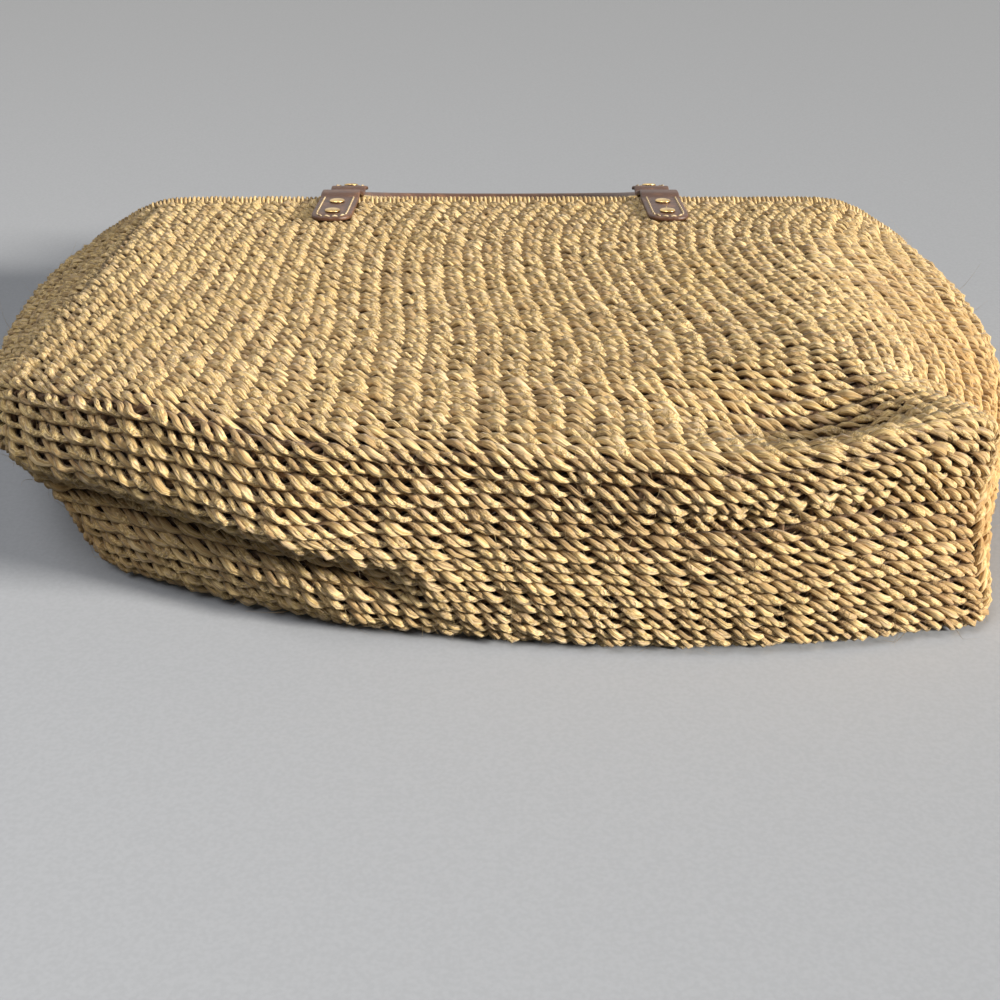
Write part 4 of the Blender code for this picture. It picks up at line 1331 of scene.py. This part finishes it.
@dataclass(frozen=True)
class SisalFinish:
    """Undyed sisal yarn: straw fibres with golden, brown and greyed strands, and painted shade in the depths of the
    weave and at the start of each grain.
    """

    groups: dict
    pale: tuple[float, ...] = (0.90, 0.685, 0.345, 1)
    straw: tuple[float, ...] = (0.52, 0.345, 0.125, 1)
    brown: tuple[float, ...] = (0.27, 0.155, 0.070, 1)
    rose: tuple[float, ...] = (0.58, 0.42, 0.29, 1)
    amber: tuple[float, ...] = (0.62, 0.33, 0.10, 1)
    # depth: colour of the painted shade in the hollows of the weave, on the wall's inner face, on the warps and on the
    # rim core
    depth: tuple[float, ...] = (0.16, 0.09, 0.045, 1)
    roughness: float = 0.82

    def make(self) -> bpy.types.Material:
        """Build the material."""
        material, web, shader = finish_tree("undyed sisal", self.roughness)
        tone = web.mark("tone").outputs["Fac"]
        crest = web.mark("crest").outputs["Fac"]
        fibres = web.add("ShaderNodeGroup", node_tree=self.groups["fibres"])
        web.tree.links.new(web.mark("thread").outputs["Vector"], fibres.inputs["Thread"])
        web.tree.links.new(tone, fibres.inputs["Shift"])
        fibres.inputs["Fineness"].default_value = 3.4
        place = web.add("ShaderNodeTexCoord").outputs["Object"]
        grime = web.add("ShaderNodeGroup", {"Place": place, "Size": 0.045}, node_tree=self.groups["grime"])

        colour = web.mix(web.steps(fibres.outputs["Streak"], 0.38, 0.62), self.straw, self.pale)
        dull = web.steps(fibres.outputs["Strand"], 0.52, 0.64)
        colour = web.mix(web.math("MULTIPLY", dull, 0.65), colour, self.brown)
        faded = web.steps(fibres.outputs["Strand"], 0.48, 0.36)
        colour = web.mix(web.math("MULTIPLY", faded, 0.55), colour, self.rose)
        darker = web.steps(tone, 0.42, 0.0)
        colour = web.mix(web.math("MULTIPLY", darker, 0.55), colour, self.brown)
        # painted shade: each grain is browner at its upper left start, which faces away from the lamp, and paler
        # towards its lit lower right end
        start = web.steps(web.mark("lean").outputs["Fac"], 0.1, -0.9)
        colour = web.mix(web.math("MULTIPLY", start, 0.55), colour, self.brown)
        colour = web.mix(web.math("MULTIPLY", grime.outputs["Patches"], 0.25), colour, self.straw)
        colour = web.mix(web.math("MULTIPLY", web.mark("warm").outputs["Fac"], 0.6), colour, self.amber)
        # painted shade: plies darken towards the depth colour as their crest falls, where they dive between the warps
        # and on the wall's inner face
        colour = web.mix(web.steps(crest, 0.55, -0.25), colour, self.depth)
        web.tree.links.new(colour, shader.inputs["Base Color"])
        height = web.math("ADD", web.math("MULTIPLY", fibres.outputs["Strand"], 0.7),
                          web.math("MULTIPLY", fibres.outputs["Streak"], 0.3))
        bump = web.add("ShaderNodeBump", {"Height": height, "Strength": 1.0, "Distance": 0.0013})
        web.tree.links.new(bump.outputs[0], shader.inputs["Normal"])
        shader.inputs["Sheen Weight"].default_value = 0.15
        shader.inputs["Specular IOR Level"].default_value = 0.3
        return material


@dataclass(frozen=True)
class LeatherFinish:
    """Dark brown waxed leather: fine pebbled grain, and worn lighter patches."""

    groups: dict
    dark: tuple[float, ...] = (0.075, 0.030, 0.014, 1)
    worn: tuple[float, ...] = (0.21, 0.095, 0.042, 1)
    roughness: float = 0.48

    def make(self) -> bpy.types.Material:
        """Build the material."""
        material, web, shader = finish_tree("waxed leather", self.roughness)
        place = web.add("ShaderNodeTexCoord").outputs["Object"]
        grime = web.add("ShaderNodeGroup", {"Place": place, "Size": 0.012}, node_tree=self.groups["grime"])
        pores = web.add("ShaderNodeTexVoronoi", {"Vector": place, "Scale": 900.0}).outputs["Distance"]
        creases = web.noise(place, 260.0, 4.0)
        colour = web.mix(web.math("MULTIPLY", grime.outputs["Patches"], 0.6), self.dark, self.worn)
        colour = web.mix(web.steps(creases, 0.62, 0.42), colour, self.dark)
        web.tree.links.new(colour, shader.inputs["Base Color"])
        height = web.math("ADD", web.math("MULTIPLY", pores, 0.6), web.math("MULTIPLY", creases, 0.5))
        bump = web.add("ShaderNodeBump", {"Height": height, "Strength": 0.35, "Distance": 0.0004})
        web.tree.links.new(bump.outputs[0], shader.inputs["Normal"])
        return material


@dataclass(frozen=True)
class ThreadFinish:
    """Waxed linen sewing thread."""

    colour: tuple[float, ...] = (0.62, 0.49, 0.30, 1)
    dark: tuple[float, ...] = (0.36, 0.25, 0.13, 1)
    roughness: float = 0.7

    def make(self) -> bpy.types.Material:
        """Build the material."""
        material, web, shader = finish_tree("linen thread", self.roughness)
        place = web.add("ShaderNodeTexCoord").outputs["Object"]
        colour = web.mix(web.steps(web.noise(place, 1500.0), 0.4, 0.62), self.dark, self.colour)
        web.tree.links.new(colour, shader.inputs["Base Color"])
        return material


@dataclass(frozen=True)
class BrassFinish:
    """Worn satin brass: brown tarnish in patches and fine scratches."""

    groups: dict
    bright: tuple[float, ...] = (0.74, 0.52, 0.22, 1)
    tarnish: tuple[float, ...] = (0.36, 0.22, 0.085, 1)
    roughness: float = 0.3

    def make(self) -> bpy.types.Material:
        """Build the material."""
        material, web, shader = finish_tree("worn brass", self.roughness, 1.0)
        place = web.add("ShaderNodeTexCoord").outputs["Object"]
        grime = web.add("ShaderNodeGroup", {"Place": place, "Size": 0.006}, node_tree=self.groups["grime"])
        web.tree.links.new(
            web.mix(web.math("MULTIPLY", grime.outputs["Patches"], 0.7), self.bright, self.tarnish),
            shader.inputs["Base Color"],
        )
        stretch = web.add("ShaderNodeMapping", {"Vector": place, "Scale": (200.0, 2400.0, 900.0)}).outputs[0]
        scratches = web.noise(stretch, 1.0, 2.0)
        rough = web.add("ShaderNodeMapRange", {0: scratches, 1: 0.3, 2: 0.7, 3: 0.22, 4: 0.42}).outputs[0]
        web.tree.links.new(rough, shader.inputs["Roughness"])
        bump = web.add("ShaderNodeBump", {"Height": scratches, "Strength": 0.12, "Distance": 0.0002})
        web.tree.links.new(bump.outputs[0], shader.inputs["Normal"])
        return material


# ---- stage --------------------------------------------------------------------------------


@dataclass(frozen=True)
class Stage:
    """Floor, sky, lamps and camera of the photograph."""

    floor_level: float = -1.0 * MM
    floor_size: float = 40.0
    floor_colour: tuple[float, ...] = (0.42, 0.43, 0.45, 1)
    floor_bounce: tuple[float, ...] = (0.045, 0.047, 0.052, 1)
    eye: tuple[float, float, float] = (0.0009, -0.5856, 0.245)
    pitch: float = 28.0
    lens: float = 50.4

    def build(self) -> None:
        """Make the whole stage."""
        self.floor()
        self.sky()
        window = self.lamp("window", "SUN", (1.54, -0.82, 0.55), 7.0, (1.0, 0.965, 0.90))
        window.angle = math.radians(10)
        fill = self.lamp("fill", "AREA", (-0.45, -0.85, 1.25), 12.5, (0.97, 0.98, 1.0))
        fill.size = 0.8
        self.camera()

    def floor(self) -> None:
        """Plain pale floor under the bag."""
        half = self.floor_size / 2
        mesh = bpy.data.meshes.new("floor")
        corners = [(x * half, y * half, self.floor_level) for x, y in ((-1, -1), (1, -1), (1, 1), (-1, 1))]
        mesh.from_pydata(corners, [], [(0, 1, 2, 3)])
        material, web, shader = finish_tree("pale floor", 0.9)
        place = web.add("ShaderNodeTexCoord").outputs["Object"]
        speckle = web.steps(web.noise(place, 700.0, 2.0), 0.3, 0.7)
        low = tuple(0.94 * value for value in self.floor_colour[:3]) + (1,)
        seen = web.add("ShaderNodeLightPath").outputs["Is Camera Ray"]
        pale = web.mix(speckle, low, self.floor_colour)
        web.tree.links.new(web.mix(seen, self.floor_bounce, pale), shader.inputs["Base Color"])
        mesh.materials.append(material)
        floor = bpy.data.objects.new("floor", mesh)
        bpy.context.scene.collection.objects.link(floor)

    @staticmethod
    def sky() -> None:
        """White behind the floor to the camera and in reflections, a dimmer grey as light."""
        world = bpy.data.worlds.new("sky")
        world.use_nodes = True
        web = Web(world.node_tree)
        world.node_tree.nodes.clear()
        path = web.add("ShaderNodeLightPath")
        seen = web.math("MAXIMUM", path.outputs["Is Camera Ray"], path.outputs["Is Glossy Ray"])
        seen = web.math("MAXIMUM", seen, path.outputs["Is Transmission Ray"])
        light = web.add("ShaderNodeBackground", {"Color": (0.90, 0.95, 1.0, 1), "Strength": 0.06})
        white = web.add("ShaderNodeBackground", {"Color": (1, 1, 1, 1), "Strength": 1.0})
        both = web.add("ShaderNodeMixShader", {0: seen, 1: light.outputs[0], 2: white.outputs[0]})
        web.add("ShaderNodeOutputWorld", {0: both.outputs[0]})
        bpy.context.scene.world = world

    @staticmethod
    def lamp(
        name: str, kind: str, place: tuple[float, ...], power: float, colour: tuple[float, ...],
    ) -> bpy.types.Light:
        """Lamp of a kind that faces the middle of the bag."""
        data = bpy.data.lights.new(name, kind)
        data.energy = power
        data.color = colour
        lamp = bpy.data.objects.new(name, data)
        lamp.location = place
        aim = Vector((0, -0.1, 0.03)) - Vector(place)
        lamp.rotation_euler = aim.to_track_quat("-Z", "Y").to_euler()
        bpy.context.scene.collection.objects.link(lamp)
        return data

    def camera(self) -> None:
        """Camera at the photograph's place, pitched down."""
        data = bpy.data.cameras.new("camera")
        data.lens = self.lens
        data.sensor_width = 36.0
        data.clip_start = 0.01
        camera = bpy.data.objects.new("camera", data)
        camera.location = self.eye
        camera.rotation_euler = (math.radians(90 - self.pitch), 0, 0)
        bpy.context.scene.collection.objects.link(camera)
        bpy.context.scene.camera = camera
        bpy.context.scene.view_settings.view_transform = "Standard"


def main() -> None:
    """Build every sub-assembly in order."""
    logging.basicConfig(level=logging.INFO, format="%(message)s")
    form = BagForm()
    wall = form.wall()
    base = form.base(wall)
    groups = {"fibres": fibre_group(), "grime": grime_group()}
    sisal = SisalFinish(groups).make()
    finishes = Finishes(LeatherFinish(groups).make(), BrassFinish(groups).make(), ThreadFinish().make())
    Stage().build()
    Weave(form, wall, base, sisal).build()
    RimBinding(form, wall, sisal).build()
    for side in Side:
        Carrier(form, side, finishes).build()


if __name__ == "__main__":
    main()
